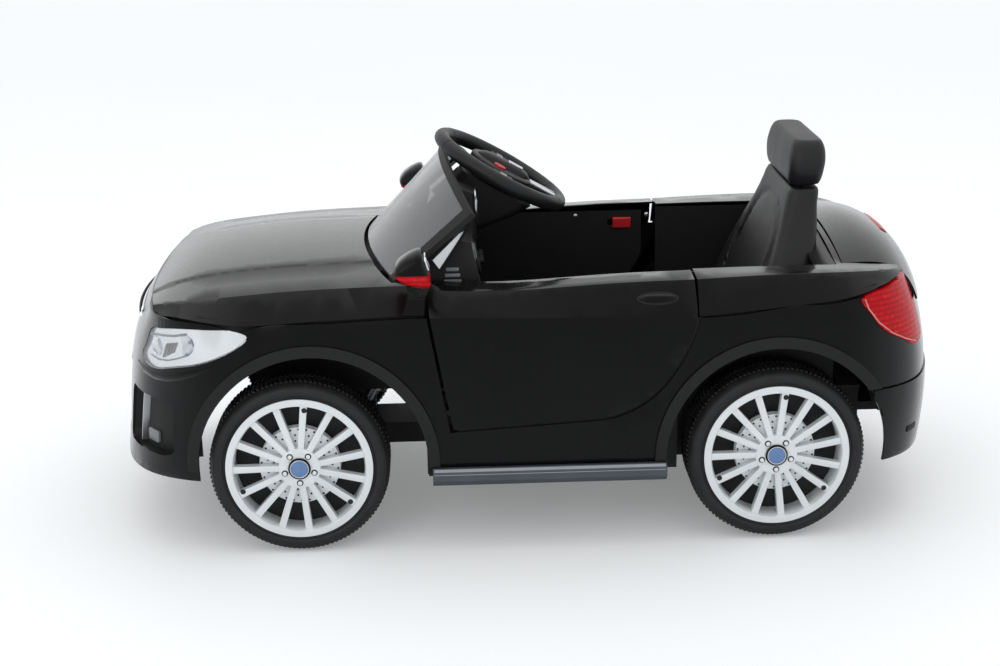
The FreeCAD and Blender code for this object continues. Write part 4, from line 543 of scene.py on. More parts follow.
for corner, wheel_x, side in (("fl", FRONT_AXLE_X, 1.0), ("fr", FRONT_AXLE_X, -1.0),
                              ("rl", REAR_AXLE_X, 1.0), ("rr", REAR_AXLE_X, -1.0)):
    place = wheel_place(wheel_x, side)
    body = BODY_OF["wheel_" + corner]
    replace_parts(shaped("ribbed_tyre_" + corner, tyre_shape(place), TYRE, body, 28.0), "tyre_" + corner)
    moulded_copy("wheel_" + corner, RIM_EASE, RIM_SHARP)
    # Painted shade: dark insets in the rim's holes, round its bolts and in its drillings
    shaped("rim_painted_hole_shade_" + corner, rim_painted_hole_shade(place), TYRE, body)
    shaped("brake_disc_" + corner, turned(DISC_OUTLINE, 64, place), WHEEL_SILVER, body)
    shaped("rim_bolts_" + corner, rim_bolts(place), CHROME, body)
    cap_ring = turned(CAP_RING_OUTLINE, 40, place)
    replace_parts(shaped("cap_ring_" + corner, cap_ring, GLOSS_BLACK, body), "hub_cap_" + corner)
    shaped("cap_dome_" + corner, turned(CAP_DOME_OUTLINE, 36, place), CAP_BLUE, body, 60.0)
    shaped("cap_band_" + corner, turned(CAP_BAND_OUTLINE, 36, place), SATIN_CHROME, body)

# Seams: dark strips inside the shell behind each gap
HOOD_SEAM = ((470.0, 219.0, 314.0), (450.0, 232.0, 317.0), (422.0, 246.0, 315.0), (380.0, 249.5, 310.0),
             (338.0, 249.5, 309.5), (296.0, 249.5, 311.5), (254.0, 249.5, 313.5), (212.0, 249.5, 315.0),
             (170.0, 249.5, 316.0), (140.0, 249.5, 317.0))
DECK_SEAM = ((-214.0, 250.5, 307.5), (-252.0, 250.5, 311.0), (-298.0, 250.5, 315.0), (-344.0, 250.5, 319.5),
             (-390.0, 250.0, 325.0), (-420.0, 246.0, 331.0), (-440.0, 240.0, 335.5))
DOOR_SEAM = ((100.0, 163.5), (40.0, 167.0), (-30.0, 171.0), (-80.0, 174.0), (-129.0, 188.0), (-160.0, 211.0),
             (-187.0, 248.0), (-204.0, 282.0), (-210.0, 306.0))
STRIP_BELOW = 9.0
STRIP_ABOVE = 6.0
STRIP_HALF = 8.0
STRIP_THICK = 1.5
DOOR_STRIP_Y = 257.6
WAIST_Z = 263.0
WAIST_LEAN = 0.085


def seam_strips():
    bm = bmesh.new()
    for points in (HOOD_SEAM, DECK_SEAM):
        carried(bm, [[(x, y, z - STRIP_BELOW), (x, y, z + STRIP_ABOVE), (x, y - STRIP_THICK, z + STRIP_ABOVE),
                      (x, y - STRIP_THICK, z - STRIP_BELOW)] for x, y, z in points])
    rows = []
    for number, (x, z) in enumerate(DOOR_SEAM):
        before = DOOR_SEAM[max(number - 1, 0)]
        after = DOOR_SEAM[min(number + 1, len(DOOR_SEAM) - 1)]
        run = Vector((after[0] - before[0], after[1] - before[1])).normalized()
        y = DOOR_STRIP_Y - max(0.0, z - WAIST_Z) * WAIST_LEAN
        across = Vector((-run.y, run.x)) * STRIP_HALF
        rows.append([(x + across.x, y, z + across.y), (x - across.x, y, z - across.y),
                     (x - across.x, y - STRIP_THICK, z - across.y), (x + across.x, y - STRIP_THICK, z + across.y)])
    carried(bm, rows)
    return with_mirror(bm)


shaped("seam_strips", seam_strips(), CABIN_BLACK, "car")

# Nose: a dark shelf under the seam between hood and nose, and a dark sheet behind the grille's bars
BRIDGE_HALF = 186.0
BRIDGE_BACK_X = 455.0
BRIDGE_FRONT_X = 503.0
BRIDGE_LEVELS = (303.0, 305.0)
BRIDGE_FALL = 60.0
BRIDGE_FALL_AT = 200.0
GRILLE_HALF = 92.0
GRILLE_BACK_X = 531.0
GRILLE_THICK = 2.0
GRILLE_LEVELS = (217.0, 289.0)
NOSE_FALL = 0.00088


def nose_bridge():
    low, high = BRIDGE_LEVELS
    rows = []
    for y in across_car(BRIDGE_HALF, 12):
        fall = BRIDGE_FALL * (y / BRIDGE_FALL_AT) ** 2
        back, front = BRIDGE_BACK_X - fall, BRIDGE_FRONT_X - fall
        rows.append([(back, y, low), (front, y, low), (front, y, high), (back, y, high)])
    bm = bmesh.new()
    carried(bm, rows)
    return bm


def grille_back():
    low, high = GRILLE_LEVELS
    rows = []
    for y in across_car(GRILLE_HALF, 10):
        front = GRILLE_BACK_X - NOSE_FALL * y * y
        back = front - GRILLE_THICK
        rows.append([(front, y, low), (front, y, high), (back, y, high), (back, y, low)])
    bm = bmesh.new()
    carried(bm, rows)
    return bm


shaped("nose_bridge", nose_bridge(), CABIN_BLACK, "car")
shaped("grille_back", grille_back(), CABIN_BLACK, "car")

# Headlights: projector eyes on the bright reflector, slim steps between them, a brow above and a sill below
REFLECTOR = skin_of("headlight_reflectors")
EYE_AIM = Vector((0.62, 0.78, 0.0)).normalized()
EYE_REACH = 80.0
EYE_LIFT = 0.2
EYES = ((478.0, 205.0, 274.0, 14.0), (432.0, 232.0, 284.0, 12.0))
# Outlines of share of the eye's radius and height
EYE_BOWL = ((0.5, -1.0), (0.82, -0.4), (1.0, 3.6), (1.1, 3.8), (1.1, 2.6), (0.9, -1.4), (0.5, -2.6))
EYE_RING = ((0.6, -0.6), (0.84, -0.3), (0.8, 0.9), (0.7, 1.5), (0.6, 1.2))
EYE_BALL = ((0.0, -0.5), (0.6, -0.5), (0.62, 0.6), (0.46, 2.6), (0.24, 3.6), (0.0, 3.9))
BLADE_FIRST = Vector((461.0, 216.0, 272.0))
BLADE_STEP = Vector((-4.6, 3.2, 2.0))
BLADE_COUNT = 4
BLADE_HALF = 11.0
BLADE_SINK = 0.5
BLADE_LEAN = (-0.35, 0.28, 1.0)
BROW = ((492.0, 196.0, 285.0), (478.0, 205.0, 289.0), (462.0, 216.0, 291.5), (446.0, 226.0, 294.0),
        (430.0, 234.0, 298.0))
SILL = ((490.0, 197.0, 259.0), (474.0, 208.0, 257.0), (458.0, 218.0, 259.0), (442.0, 228.0, 265.0),
        (428.0, 235.0, 271.0))


def on_reflector(point, lift):
    at, _ = touch(REFLECTOR, Vector(point) + EYE_AIM * EYE_REACH, -EYE_AIM)
    return at + EYE_AIM * lift


def eye_shape(outline, steps):
    bm = bmesh.new()
    for x, y, z, radius in EYES:
        place = facing(on_reflector((x, y, z), EYE_LIFT), EYE_AIM)
        lathe(bm, [(radius * share, height) for share, height in outline], steps, place)
    return with_mirror(bm)


def lamp_blades():
    bm = bmesh.new()
    for number in range(BLADE_COUNT):
        at = on_reflector(BLADE_FIRST + BLADE_STEP * number, -BLADE_SINK)
        slab(bm, rounded(1.2, BLADE_HALF - number, 1.1), thick=2.6, ease=0.4, place=facing(at, EYE_AIM, BLADE_LEAN))
    cord_along(bm, [on_reflector(point, 0.6) for point in BROW], radius=1.5)
    cord_along(bm, [on_reflector(point, 0.4) for point in SILL], radius=1.1)
    return with_mirror(bm)


shaped("eye_bowls", eye_shape(EYE_BOWL, 40), SATIN_CHROME, "car", 50.0)
shaped("eye_rings", eye_shape(EYE_RING, 36), GLOSS_BLACK, "car", 40.0)
shaped("eye_balls", eye_shape(EYE_BALL, 32), CLEAR_BALL, "car", 60.0)
shaped("lamp_blades", lamp_blades(), LAMP_GREY, "car")

# The ridge of the nose under each headlight: places along it and its size there
SHELL = skin_of("body_shell")
BESIDE_CAR = 400.0
LIP_STATIONS = ((516.0, 240.0, 2.0), (504.0, 236.5, 4.0), (488.0, 236.0, 5.2), (470.0, 238.5, 5.6), (452.0, 243.0, 5.0),
                (434.0, 248.5, 3.8), (416.0, 255.0, 2.4), (402.0, 261.0, 1.2))
LIP_ROOT = 1.0


def lamp_lip():
    rows = []
    for x, z, size in LIP_STATIONS:
        at, out = touch(SHELL, (x, BESIDE_CAR, z), (0.0, -1.0, 0.0))
        root = at - out * LIP_ROOT
        rows.append([root - UP * size * 1.5, at + out * size * 0.35 - UP * size * 0.9, at + out * size * 0.75,
                     at + out * size * 0.6 + UP * size * 0.6, root + UP * size * 0.9])
    bm = bmesh.new()
    carried(bm, rows)
    return with_mirror(bm)


shaped("lamp_lip", lamp_lip(), GLOSS_BLACK, "car", 50.0)

# Scoops beside the lower intake: a slim upright blade and a small lamp in each
TRAYS = skin_of("nose_trays")
AHEAD_OF_CAR = 700.0
SCOOP_LAMP_Y = 196.0
SCOOP_LAMP_Z = 146.0
SCOOP_BLADE_Y = 176.0
SCOOP_BLADE_LEAN = 0.05
SCOOP_BLADE_LOW = 133.0
SCOOP_BLADE_STEP = 11.5
SCOOP_BLADE_ROWS = 7
SCOOP_BLADE_OUT = 9.0
SCOOP_BLADE_ROOT = 0.5
SCOOP_BLADE_HALVES = (1.6, 0.8)


def scoop_lamps():
    bm = bmesh.new()
    at, out = touch(TRAYS, (AHEAD_OF_CAR, SCOOP_LAMP_Y, SCOOP_LAMP_Z), (-1.0, 0.0, 0.0))
    slab(bm, rounded(13.0, 8.0, 3.0), thick=4.0, ease=1.0, place=facing(at - out * 1.0, out))
    return with_mirror(bm)


def scoop_blades():
    wide, slim = SCOOP_BLADE_HALVES
    rows = []
    for number in range(SCOOP_BLADE_ROWS):
        rise = SCOOP_BLADE_STEP * number
        start = (AHEAD_OF_CAR, SCOOP_BLADE_Y + SCOOP_BLADE_LEAN * rise, SCOOP_BLADE_LOW + rise)
        at, out = touch(TRAYS, start, (-1.0, 0.0, 0.0))
        side = out.cross(UP).normalized()
        root, crest = at - out * SCOOP_BLADE_ROOT, at + out * SCOOP_BLADE_OUT
        rows.append([root - side * wide, crest - side * slim, crest + side * slim, root + side * wide])
    bm = bmesh.new()
    carried(bm, rows)
    return with_mirror(bm)


shaped("scoop_lamps", scoop_lamps(), LAMP_GREY, "car")
shaped("scoop_blades", scoop_blades(), SATIN_CHROME, "car")

# Tail: dark inner side of each lamp, a pale cord along each lamp's edge as a painted highlight, stop lamp on the lid,
# slots in the bumper
TAIL_LAMP = skin_of("tail_lamps")
LID = skin_of("trunk_lid")
BUMPER = skin_of("rear_bumper")
ABOVE_CAR = 500.0
LAMP_BACK_PLACE = (-455.0, 206.0, 288.0)
LAMP_BACK_OUT = (0.42, -0.907, 0.0)
TAIL_EDGE = ((-422.0, 325.0), (-427.0, 312.5), (-442.5, 292.5), (-463.5, 275.0), (-486.0, 262.0), (-504.0, 252.5))
STOP_HALF = 46.0
STOP_MIDDLE_X = -496.5
STOP_TAPER = 0.35
STOP_SECTION = ((8.5, -0.6), (6.5, 0.9), (-0.5, 1.4), (-6.5, 0.9), (-8.5, -0.6))
SLOT_AIM_FROM = (-643.0, 354.0, 134.0)
SLOT_AIM = (0.7, -0.7, 0.0)


def lamp_backs():
    bm = bmesh.new()
    slab(bm, rounded(42.0, 40.0, 8.0), thick=1.5, ease=0.4, place=facing(LAMP_BACK_PLACE, LAMP_BACK_OUT))
    return with_mirror(bm)


def tail_edge_highlights():
    points = []
    for x, z in TAIL_EDGE:
        at, out = touch(TAIL_LAMP, (x, BESIDE_CAR, z), (0.0, -1.0, 0.0))
        points.append(at + out * 0.1)
    bm = bmesh.new()
    cord_along(bm, points, radius=0.9)
    return with_mirror(bm)


def stop_lamp():
    rows = []
    for y in across_car(STOP_HALF, 10):
        taper = 1.0 - STOP_TAPER * abs(y) / STOP_HALF
        rows.append([])
        for x, lift in STOP_SECTION:
            at, out = touch(LID, (STOP_MIDDLE_X + x * taper, y, ABOVE_CAR), (0.0, 0.0, -1.0))
            rows[-1].append(at + out * lift)
    bm = bmesh.new()
    carried(bm, rows)
    return bm


def bumper_slots():
    bm = bmesh.new()
    at, out = touch(BUMPER, SLOT_AIM_FROM, SLOT_AIM)
    slab(bm, rounded(13.0, 4.4, 3.0), thick=1.6, ease=0.4, place=facing(at - out * 1.2, out))
    return with_mirror(bm)


shaped("lamp_backs", lamp_backs(), CABIN_BLACK, "car")
shaped("tail_edge_highlights", tail_edge_highlights(), TAIL_HIGHLIGHT_PAINT, "car")
shaped("stop_lamp", stop_lamp(), RED_COVER, "car", 50.0)
shaped("bumper_slots", bumper_slots(), CABIN_BLACK, "car")

# Doors: a dish and a grip on the outside, screws on the inside
GRIP_X = -159.0
GRIP_Z = 329.0
GRIP_SINK = 1.2
DISH_HALVES = (27.0, 9.0)
DISH_POINTS = 32
GRIP_HALF_LENGTH = 24.0
GRIP_ROWS = 6
GRIP_SECTION = ((1.0, 0.0), (0.6, 0.8), (-0.6, 0.8), (-1.0, 0.0), (-0.6, -0.8), (0.6, -0.8))
SCREW_FACE_Y = 196.2
SCREWS = ((-90.0, 333.0), (-198.0, 333.0), (60.0, 328.0), (40.0, 190.0), (-120.0, 206.0))
SCREW_OUTLINE = ((0.0, -0.4), (3.6, -0.4), (3.3, 1.0), (2.0, 1.6), (1.0, 1.7), (0.8, 1.1), (0.0, 1.0))


def grip_dish(place):
    long, tall = DISH_HALVES
    turns = [2.0 * math.pi * number / DISH_POINTS for number in range(DISH_POINTS)]
    bm = bmesh.new()
    slab(bm, [(long * math.cos(turn), tall * math.sin(turn)) for turn in turns], thick=1.5, ease=0.4, place=place)
    return bm


def door_grip(place):
    """A bar that is slimmest and nearest to the door at its two ends."""
    rows = []
    for number in range(-GRIP_ROWS, GRIP_ROWS + 1):
        share = number / GRIP_ROWS
        lift = 4.6 - 3.6 * share ** 4
        half = 4.4 - 2.0 * share ** 4
        rows.append([place @ Vector((GRIP_HALF_LENGTH * share, half * tall, lift + 2.2 * deep))
                     for tall, deep in GRIP_SECTION])
    bm = bmesh.new()
    carried(bm, rows)
    return bm


def panel_screws(side):
    bm = bmesh.new()
    for x, z in SCREWS:
        lathe(bm, SCREW_OUTLINE, 14, facing((x, side * SCREW_FACE_Y, z), (0.0, -side, 0.0)))
    return bm


for side, word in SIDES:
    body = BODY_OF["door_" + word]
    at, out = touch(skin_of("door_" + word), (GRIP_X, side * BESIDE_CAR, GRIP_Z), (0.0, -side, 0.0))
    place = facing(at - out * GRIP_SINK, out)
    shaped("grip_dish_" + word, grip_dish(place), CABIN_BLACK, body, 50.0)
    shaped("grip_" + word, door_grip(place), GLOSS_BLACK, body, 60.0)
    shaped("panel_screws_" + word, panel_screws(side), SATIN_CHROME, body)

# Steering wheel: cowl below, pad, plate and trim of the spokes, drawn flat and then tilted
STEER_PLACE = Matrix.Translation((30.0, 0.0, 450.0)) @ Matrix.Rotation(math.radians(-30.0), 4, "Y")
PAD_ROWS = 7
PAD_MIDDLE = -2.0
PAD_HALVES = (40.0, 16.2, 9.0)
PAD_BASE = 5.4
PAD_SECTION = ((1.0, 0.0), (0.95, 0.5), (0.7, 0.86), (0.3, 0.98), (-0.3, 0.98), (-0.7, 0.86), (-0.95, 0.5), (-1.0, 0.0))
LOWER_SPOKE = ((-84.0, -13.0), (-44.0, -10.0), (-44.0, 10.0), (-84.0, 13.0))
SIDE_SPOKE = ((-5.0, 47.0), (5.0, 47.0), (5.0, 80.0), (-5.0, 80.0))
# Each section's height, middle, two halves and corner
COWL_SECTIONS = ((-21.0, -6.0, 50.0, 26.0, 12.0), (-23.0, -6.0, 54.0, 30.0, 14.0), (-44.0, 2.0, 50.0, 31.0, 14.0),
                 (-80.0, 16.0, 34.0, 28.0, 12.0))
RIM_RADIUS = 92.0
RIM_SEAM_TURNS = (28.0, 152.0, 208.0, 332.0)
RIM_SEAM_OUTLINE = ((9.6, -0.9), (10.25, -0.6), (10.25, 0.6), (9.6, 0.9))


def column_cowl():
    bm = bmesh.new()
    carried(bm, [[STEER_PLACE @ Vector((middle + x, y, level)) for x, y in rounded(half_x, half_y, corner)]
                 for level, middle, half_x, half_y, corner in COWL_SECTIONS])
    return bm


def steering_pad():
    long, wide, tall = PAD_HALVES
    rows = []
    for number in range(-PAD_ROWS, PAD_ROWS + 1):
        share = number / PAD_ROWS
        swell = max(0.05, 1.0 - share ** 4) ** 0.5
        rows.append([STEER_PLACE @ Vector((PAD_MIDDLE + long * share, wide * swell * c, PAD_BASE + tall * swell * s))
                     for c, s in PAD_SECTION])
    bm = bmesh.new()
    carried(bm, rows)
    return bm


def steering_trim():
    bm = bmesh.new()
    slab(bm, rounded(11.0, 6.5, 2.0), thick=2.0, ease=0.6, place=STEER_PLACE @ Matrix.Translation((-16.0, 0.0, 13.6)))
    slab(bm, LOWER_SPOKE, thick=2.4, ease=0.8, place=STEER_PLACE @ Matrix.Translation((0.0, 0.0, 3.2)))
    for way in (1.0, -1.0):
        slab(bm, [(x, way * y) for x, y in SIDE_SPOKE][::int(way)], thick=1.6, ease=0.5,
             place=STEER_PLACE @ Matrix.Translation((0.0, 0.0, 3.4)))
    return bm


def rim_seams():
    """The joins of the grip round the steering rim."""
    bm = bmesh.new()
    across_rim = Matrix.Rotation(math.pi / 2.0, 4, "X")
    for degrees in RIM_SEAM_TURNS:
        at = STEER_PLACE @ Matrix.Rotation(math.radians(degrees), 4, "Z") @ Matrix.Translation((RIM_RADIUS, 0.0, 0.0))
        lathe(bm, RIM_SEAM_OUTLINE, 28, at @ across_rim)
    return bm


shaped("column_cowl", column_cowl(), CABIN_BLACK, "car", 40.0)
shaped("steering_pad", steering_pad(), SEAT_BLACK, "steering", 50.0)
shaped("steering_trim", steering_trim(), SATIN_CHROME, "steering")
shaped("rim_seams", rim_seams(), CABIN_BLACK, "steering", 50.0)

# Dashboard: two plain dials on the hump, vents towards the driver and at both ends, knobs
DASH = skin_of("dashboard")
DRIVER_X = -50.0
DIAL_Z = 408.0
DIALS_Y = (-37.0, 37.0)
DIAL_RING_OUTLINE = ((21.0, -1.0), (24.0, -1.0), (24.0, 2.0), (22.8, 3.2), (21.6, 2.6), (21.0, 1.0))
DIAL_FACE_OUTLINE = ((0.0, -0.6), (21.2, -0.6), (21.2, 0.6), (6.0, 0.8), (4.0, 2.2), (0.0, 2.4))
VENT_Z = 376.0
VENTS_Y = (-146.0, 162.0)
VENT_BARS = (-6.0, -2.0, 2.0, 6.0)
END_VENT_X = 101.0
END_VENT_LOW = 334.0
END_VENT_STEP = 8.0
END_VENT_BARS = 4
BESIDE_DASH = 300.0
KNOBS = ((-70.0, 346.0), (70.0, 346.0), (100.0, 346.0))
KNOB_OUTLINE = ((0.0, -0.5), (8.0, -0.5), (8.0, 1.0), (6.4, 2.0), (6.0, 8.0), (5.0, 9.2), (0.0, 9.4))


def on_dash(y, z):
    """A place on the dashboard's face towards the driver."""
    at, out = touch(DASH, (DRIVER_X, y, z), (1.0, 0.0, 0.0))
    return facing(at, out)


def dash_dials(outline, steps):
    bm = bmesh.new()
    for y in DIALS_Y:
        lathe(bm, outline, steps, on_dash(y, DIAL_Z))
    return bm


def dash_vents():
    bm = bmesh.new()
    for y in VENTS_Y:
        place = on_dash(y, VENT_Z)
        slab(bm, rounded(17.0, 10.0, 4.0), thick=1.2, ease=0.4, place=place @ Matrix.Translation((0.0, 0.0, -0.4)))
        for level in VENT_BARS:
            slab(bm, rounded(14.0, 1.0, 0.8, 2), thick=2.6, ease=0.3,
                 place=place @ Matrix.Translation((0.0, level, 0.4)))
    for side, _ in SIDES:
        for level in range(END_VENT_BARS):
            start = (END_VENT_X, side * BESIDE_DASH, END_VENT_LOW + END_VENT_STEP * level)
            at, out = touch(DASH, start, (0.0, -side, 0.0))
            slab(bm, rounded(13.0 - 1.5 * level, 2.4, 1.4, 2), thick=1.8, ease=0.5, place=facing(at - out * 0.4, out))
    return bm


def dash_knobs():
    bm = bmesh.new()
    for y, z in KNOBS:
        lathe(bm, KNOB_OUTLINE, 20, on_dash(y, z))
    return bm


shaped("dial_rings", dash_dials(DIAL_RING_OUTLINE, 44), SATIN_CHROME, "car", 40.0)
shaped("dial_faces", dash_dials(DIAL_FACE_OUTLINE, 36), GLOSS_BLACK, "car", 40.0)
shaped("dash_vents", dash_vents(), LAMP_GREY, "car")
shaped("dash_knobs", dash_knobs(), CABIN_BLACK, "car", 40.0)

# Skirts: two pale lines along each, painted highlights on the chamfer and at the top of the outer face
SKIRT_STATIONS = (131.0, 60.0, -20.0, -100.0, -169.0)
SKIRT_SECTIONS = (((265.0, 111.6), (267.8, 108.8), (268.3, 109.3), (265.5, 112.1)),
                  ((268.9, 105.2), (269.5, 105.3), (269.5, 106.1), (268.9, 106.2)))


def skirt_painted_highlights():
    bm = bmesh.new()
    for section in SKIRT_SECTIONS:
        carried(bm, [[(x, y, z) for y, z in section] for x in SKIRT_STATIONS])
    return with_mirror(bm)


shaped("skirt_painted_highlights", skirt_painted_highlights(), SKIRT_HIGHLIGHT_PAINT, "car")

# Arch liners: a bent sheet over each rear wheel, between it and the cabin
LINER_MIDDLE = Vector((REAR_AXLE_X, 0.0, 120.0))
LINER_RADIUS = 146.5
LINER_THICK = 1.6
LINER_LAST_TURN = 165
LINER_TURN_STEP = 6
# The foot's two corners: lower X and Z, upper X and Z
LINER_FOOT = ((-158.0, 105.6, -158.0, 107.2), (-168.5, 105.6, -166.9, 107.2))
# Each strip's two edges, its first turn and its foot
LINER_STRIPS = ((219.5, 255.5, 0, LINER_FOOT), (187.0, 219.5, 32, ()))


def arch_liners():
    bm = bmesh.new()
    for inner_y, outer_y, first_turn, foot in LINER_STRIPS:
        path = list(foot)
        for degrees in range(first_turn, LINER_LAST_TURN, LINER_TURN_STEP):
            turn = math.radians(degrees)
            out = Vector((math.cos(turn), 0.0, math.sin(turn)))
            near = LINER_MIDDLE + out * LINER_RADIUS
            far = LINER_MIDDLE + out * (LINER_RADIUS + LINER_THICK)
            path.append((near.x, near.z, far.x, far.z))
        carried(bm, [[(x0, inner_y, z0), (x0, outer_y, z0), (x1, outer_y, z1), (x1, inner_y, z1)]
                     for x0, z0, x1, z1 in path])
    return with_mirror(bm)


shaped("arch_liners", arch_liners(), CABIN_BLACK, "car", 40.0)

# Deck corners: the deck carried on round both sides of the seat's back
DECK_CORNER = ((-400.6, 60.0, 368.4), (-400.6, 96.0, 365.0), (-400.6, 128.0, 361.0), (-400.6, 160.0, 355.2),
               (-400.6, 186.4, 350.4), (-372.0, 186.4, 351.0), (-374.0, 122.0, 354.0), (-392.0, 60.0, 366.0))
DECK_CORNER_DROP = Vector((0.0, 0.0, 3.0))


def deck_corners():
    top = [Vector(corner) for corner in DECK_CORNER]
    bm = bmesh.new()
    carried(bm, [top, [corner - DECK_CORNER_DROP for corner in top]])
    return with_mirror(bm)


shaped("deck_corners", deck_corners(), GLOSS_BLACK, "car")

# Mirrors: a wedge-shaped housing on its stalk, a red lamp along its foot, a glass at its back
MIRROR_MIDDLE = Vector((148.0, 262.0, 377.8))
MIRROR_HALF = 24.8
MIRROR_ROWS = 12
MIRROR_ENDS = 12.5
HOUSING = ((174.6, 378.2), (174.9, 383.5), (172.6, 388.6), (166.6, 395.2), (157.3, 401.6), (149.0, 405.6),
           (143.4, 407.2), (140.0, 406.2), (137.9, 402.6), (130.6, 378.2))
LAMP_FOOT = ((174.2, 377.4), (172.6, 372.0), (165.4, 365.2), (153.2, 360.4), (140.0, 357.6), (131.5, 357.6),
             (128.8, 361.0), (130.4, 377.4))
# Each section's two X, two Y and height
STALK = ((139.0, 166.0, 230.0, 256.0, 318.0), (137.0, 160.0, 236.0, 254.0, 338.0), (134.0, 158.0, 238.0, 262.0, 349.0),
         (130.5, 160.0, 240.0, 272.0, 361.0))
GLASS_MIDDLE = (134.6, 262.0, 389.4)
GLASS_OUT = (-0.96, 0.0, 0.28)


def across_mirror(bm, outline):
    """An outline of the mirror's side, carried across it and drawn in towards both ends."""
    rows = []
    for number in range(-MIRROR_ROWS, MIRROR_ROWS + 1):
        share = math.sin(math.pi / 2.0 * number / MIRROR_ENDS)
        long = (1.0 - abs(share) ** 5) ** 0.2
        tall = (1.0 - abs(share) ** 2.6) ** 0.38
        rows.append([(MIRROR_MIDDLE.x + (x - MIRROR_MIDDLE.x) * long, MIRROR_MIDDLE.y + MIRROR_HALF * share,
                      MIRROR_MIDDLE.z + (z - MIRROR_MIDDLE.z) * tall) for x, z in outline])
    carried(bm, rows)


def mirror_housing(side):
    bm = bmesh.new()
    across_mirror(bm, HOUSING)
    carried(bm, [[(x0, y0, z), (x1, y0, z), (x1, y1, z), (x0, y1, z)] for x0, x1, y0, y1, z in STALK])
    bmesh.ops.scale(bm, vec=(1.0, side, 1.0), verts=bm.verts)
    return bm


def mirror_feet():
    bm = bmesh.new()
    across_mirror(bm, LAMP_FOOT)
    return with_mirror(bm)


def mirror_faces():
    bm = bmesh.new()
    slab(bm, rounded(16.5, 9.4, 5.0), thick=2.2, ease=0.4, place=facing(GLASS_MIDDLE, GLASS_OUT))
    return with_mirror(bm)


for side, word in SIDES:
    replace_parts(shaped("mirror_housing_" + word, mirror_housing(side), GLOSS_BLACK, "car", 40.0),
                "mirror_" + word)
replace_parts(shaped("mirror_feet", mirror_feet(), RED_COVER, "car", 40.0), "mirror_lamps")
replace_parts(shaped("mirror_faces", mirror_faces(), MIRROR_FOIL, "car"), "mirror_glasses")

# Quarter lights beside the screen, each an opaque pale sheet whose colour is a painted reflection of the bright room,
# and each with a slim bar behind it
QUARTER_LIGHT = ((84.6, 198.0, 412.1), (91.7, 198.0, 408.3), (126.3, 205.0, 376.0), (118.0, 205.0, 364.5))
QUARTER_THICK = Vector((0.0, 1.6, 0.0))
QUARTER_BAR = ((81.3, 198.0, 415.3), (99.0, 202.0, 388.0), (116.6, 205.0, 360.5))


def quarter_lights():
    near = [Vector(corner) for corner in QUARTER_LIGHT]
    bm = bmesh.new()
    carried(bm, [near, [corner - QUARTER_THICK for corner in near]])
    return with_mirror(bm)


def quarter_bars():
    bm = bmesh.new()
    cord_along(bm, QUARTER_BAR, radius=1.7)
    return with_mirror(bm)


shaped("quarter_lights", quarter_lights(), QUARTER_REFLECTION_PAINT, "car")
shaped("quarter_bars", quarter_bars(), GLOSS_BLACK, "car", 60.0)

# Pedal: ribs across the tread
PEDAL_PLACE = Matrix.Translation((52.0, -80.0, 101.0)) @ Matrix.Rotation(math.radians(-30.0), 4, "Y")
PEDAL_RIBS = 8
PEDAL_RIB_FIRST = 12.0
PEDAL_RIB_STEP = 9.0
PEDAL_RIB_BASE = 8.6


def pedal_ribs():
    bm = bmesh.new()
    for number in range(PEDAL_RIBS):
        at = Matrix.Translation((PEDAL_RIB_FIRST + PEDAL_RIB_STEP * number, 0.0, PEDAL_RIB_BASE))
        slab(bm, rounded(2.0, 21.0, 1.6, 2), thick=1.6, ease=0.5, place=PEDAL_PLACE @ at)
    return bm


shaped("pedal_ribs", pedal_ribs(), TYRE, "pedal")

# Studio
CAMERA_PLACE = Vector((0.1207, 2.3421, 0.9477))
CAMERA_YAW = -0.0371
CAMERA_PITCH = 0.30414
CAMERA_ROLL = -0.01481
CAMERA_LENS = 62.14
CAMERA_SENSOR = 36.0
FLOOR_HALF = 30.0


def studio_camera():
    look = Vector((math.sin(CAMERA_YAW) * math.cos(CAMERA_PITCH), -math.cos(CAMERA_YAW) * math.cos(CAMERA_PITCH),
                   -math.sin(CAMERA_PITCH)))
    right = Vector((-math.cos(CAMERA_YAW), -math.sin(CAMERA_YAW), 0.0))
    up = right.cross(look)
    across = math.cos(CAMERA_ROLL) * right + math.sin(CAMERA_ROLL) * up
    upward = math.cos(CAMERA_ROLL) * up - math.sin(CAMERA_ROLL) * right
    data = bpy.data.cameras.new("studio_camera")
    data.lens = CAMERA_LENS
    data.sensor_width = CAMERA_SENSOR
    data.sensor_fit = "HORIZONTAL"
    camera = bpy.data.objects.new("studio_camera", data)
    turn = Matrix((across, upward, -look)).transposed().to_4x4()
    camera.matrix_world = Matrix.Translation(CAMERA_PLACE) @ turn
    bpy.context.scene.collection.objects.link(camera)
    bpy.context.scene.camera = camera


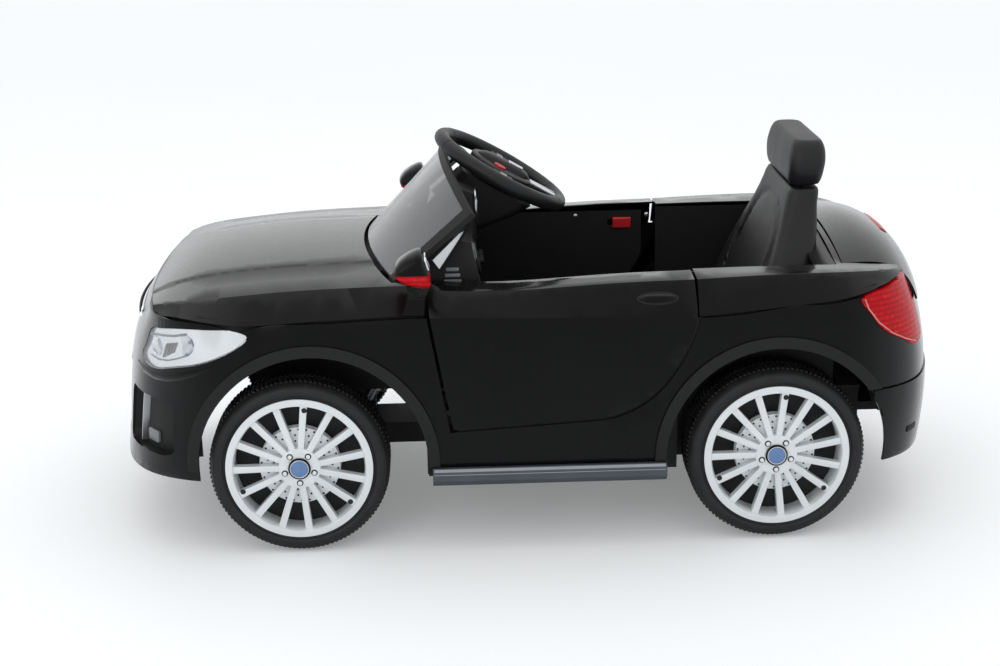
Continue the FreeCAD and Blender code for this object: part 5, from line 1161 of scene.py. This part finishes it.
def soft_box(name, place, target, size, power):
    data = bpy.data.lights.new(name, "AREA")
    data.shape = "RECTANGLE"
    data.size, data.size_y = size
    data.energy = power
    light = bpy.data.objects.new(name, data)
    aim = (Vector(target) - Vector(place)).to_track_quat("-Z", "Y")
    light.matrix_world = Matrix.Translation(place) @ aim.to_matrix().to_4x4()
    bpy.context.scene.collection.objects.link(light)


def pale_floor():
    """A pale floor that a camera sees a little brighter than the lamps make it."""
    f = named_finish("pale_studio_floor")
    cloud = f.cloud(1.2, 2.0)
    glow = f.between(f.ray("Is Camera Ray"), (0.0, 0.0, 0.0), (1.0, 1.0, 1.0))
    owner = f.close({"Base Color": f.between(cloud, (0.86, 0.872, 0.88), (0.90, 0.910, 0.916)), "Roughness": 0.6,
                     "Emission Color": glow, "Emission Strength": 0.19})
    bm = bmesh.new()
    bmesh.ops.create_grid(bm, x_segments=1, y_segments=1, size=FLOOR_HALF)
    mesh = bpy.data.meshes.new("studio_floor")
    bm.to_mesh(mesh)
    bm.free()
    mesh.materials.append(owner)
    floor = bpy.data.objects.new("studio_floor", mesh)
    bpy.context.scene.collection.objects.link(floor)


def studio_room():
    """A pale room; the camera, gloss and glass see it as near white."""
    world = bpy.data.worlds.new("studio_room")
    bpy.context.scene.world = world
    f = Finish(world)
    seen = f.ray("Is Camera Ray") + f.ray("Is Glossy Ray") + f.ray("Is Transmission Ray")
    room = f.node("Background", {}, {"Color": (0.96, 0.98, 1.0, 1.0), "Strength": 0.85})
    shown = f.node("Background", {}, {"Color": (0.985, 0.992, 1.0, 1.0), "Strength": 1.0})
    mixed = f.node("MixShader", {}, {0: seen, 1: room, 2: shown})
    f.node("OutputWorld", {}, {"Surface": mixed})


studio_camera()
pale_floor()
studio_room()
soft_box("overhead_box", place=(0.0, -0.4, 2.6), target=(0.0, 0.0, 0.2), size=(3.2, 2.4), power=12.0)
soft_box("front_box", place=(1.6, 2.6, 1.7), target=(0.1, 0.0, 0.25), size=(1.4, 1.4), power=9.0)
bpy.context.scene.view_settings.view_transform = "Standard"
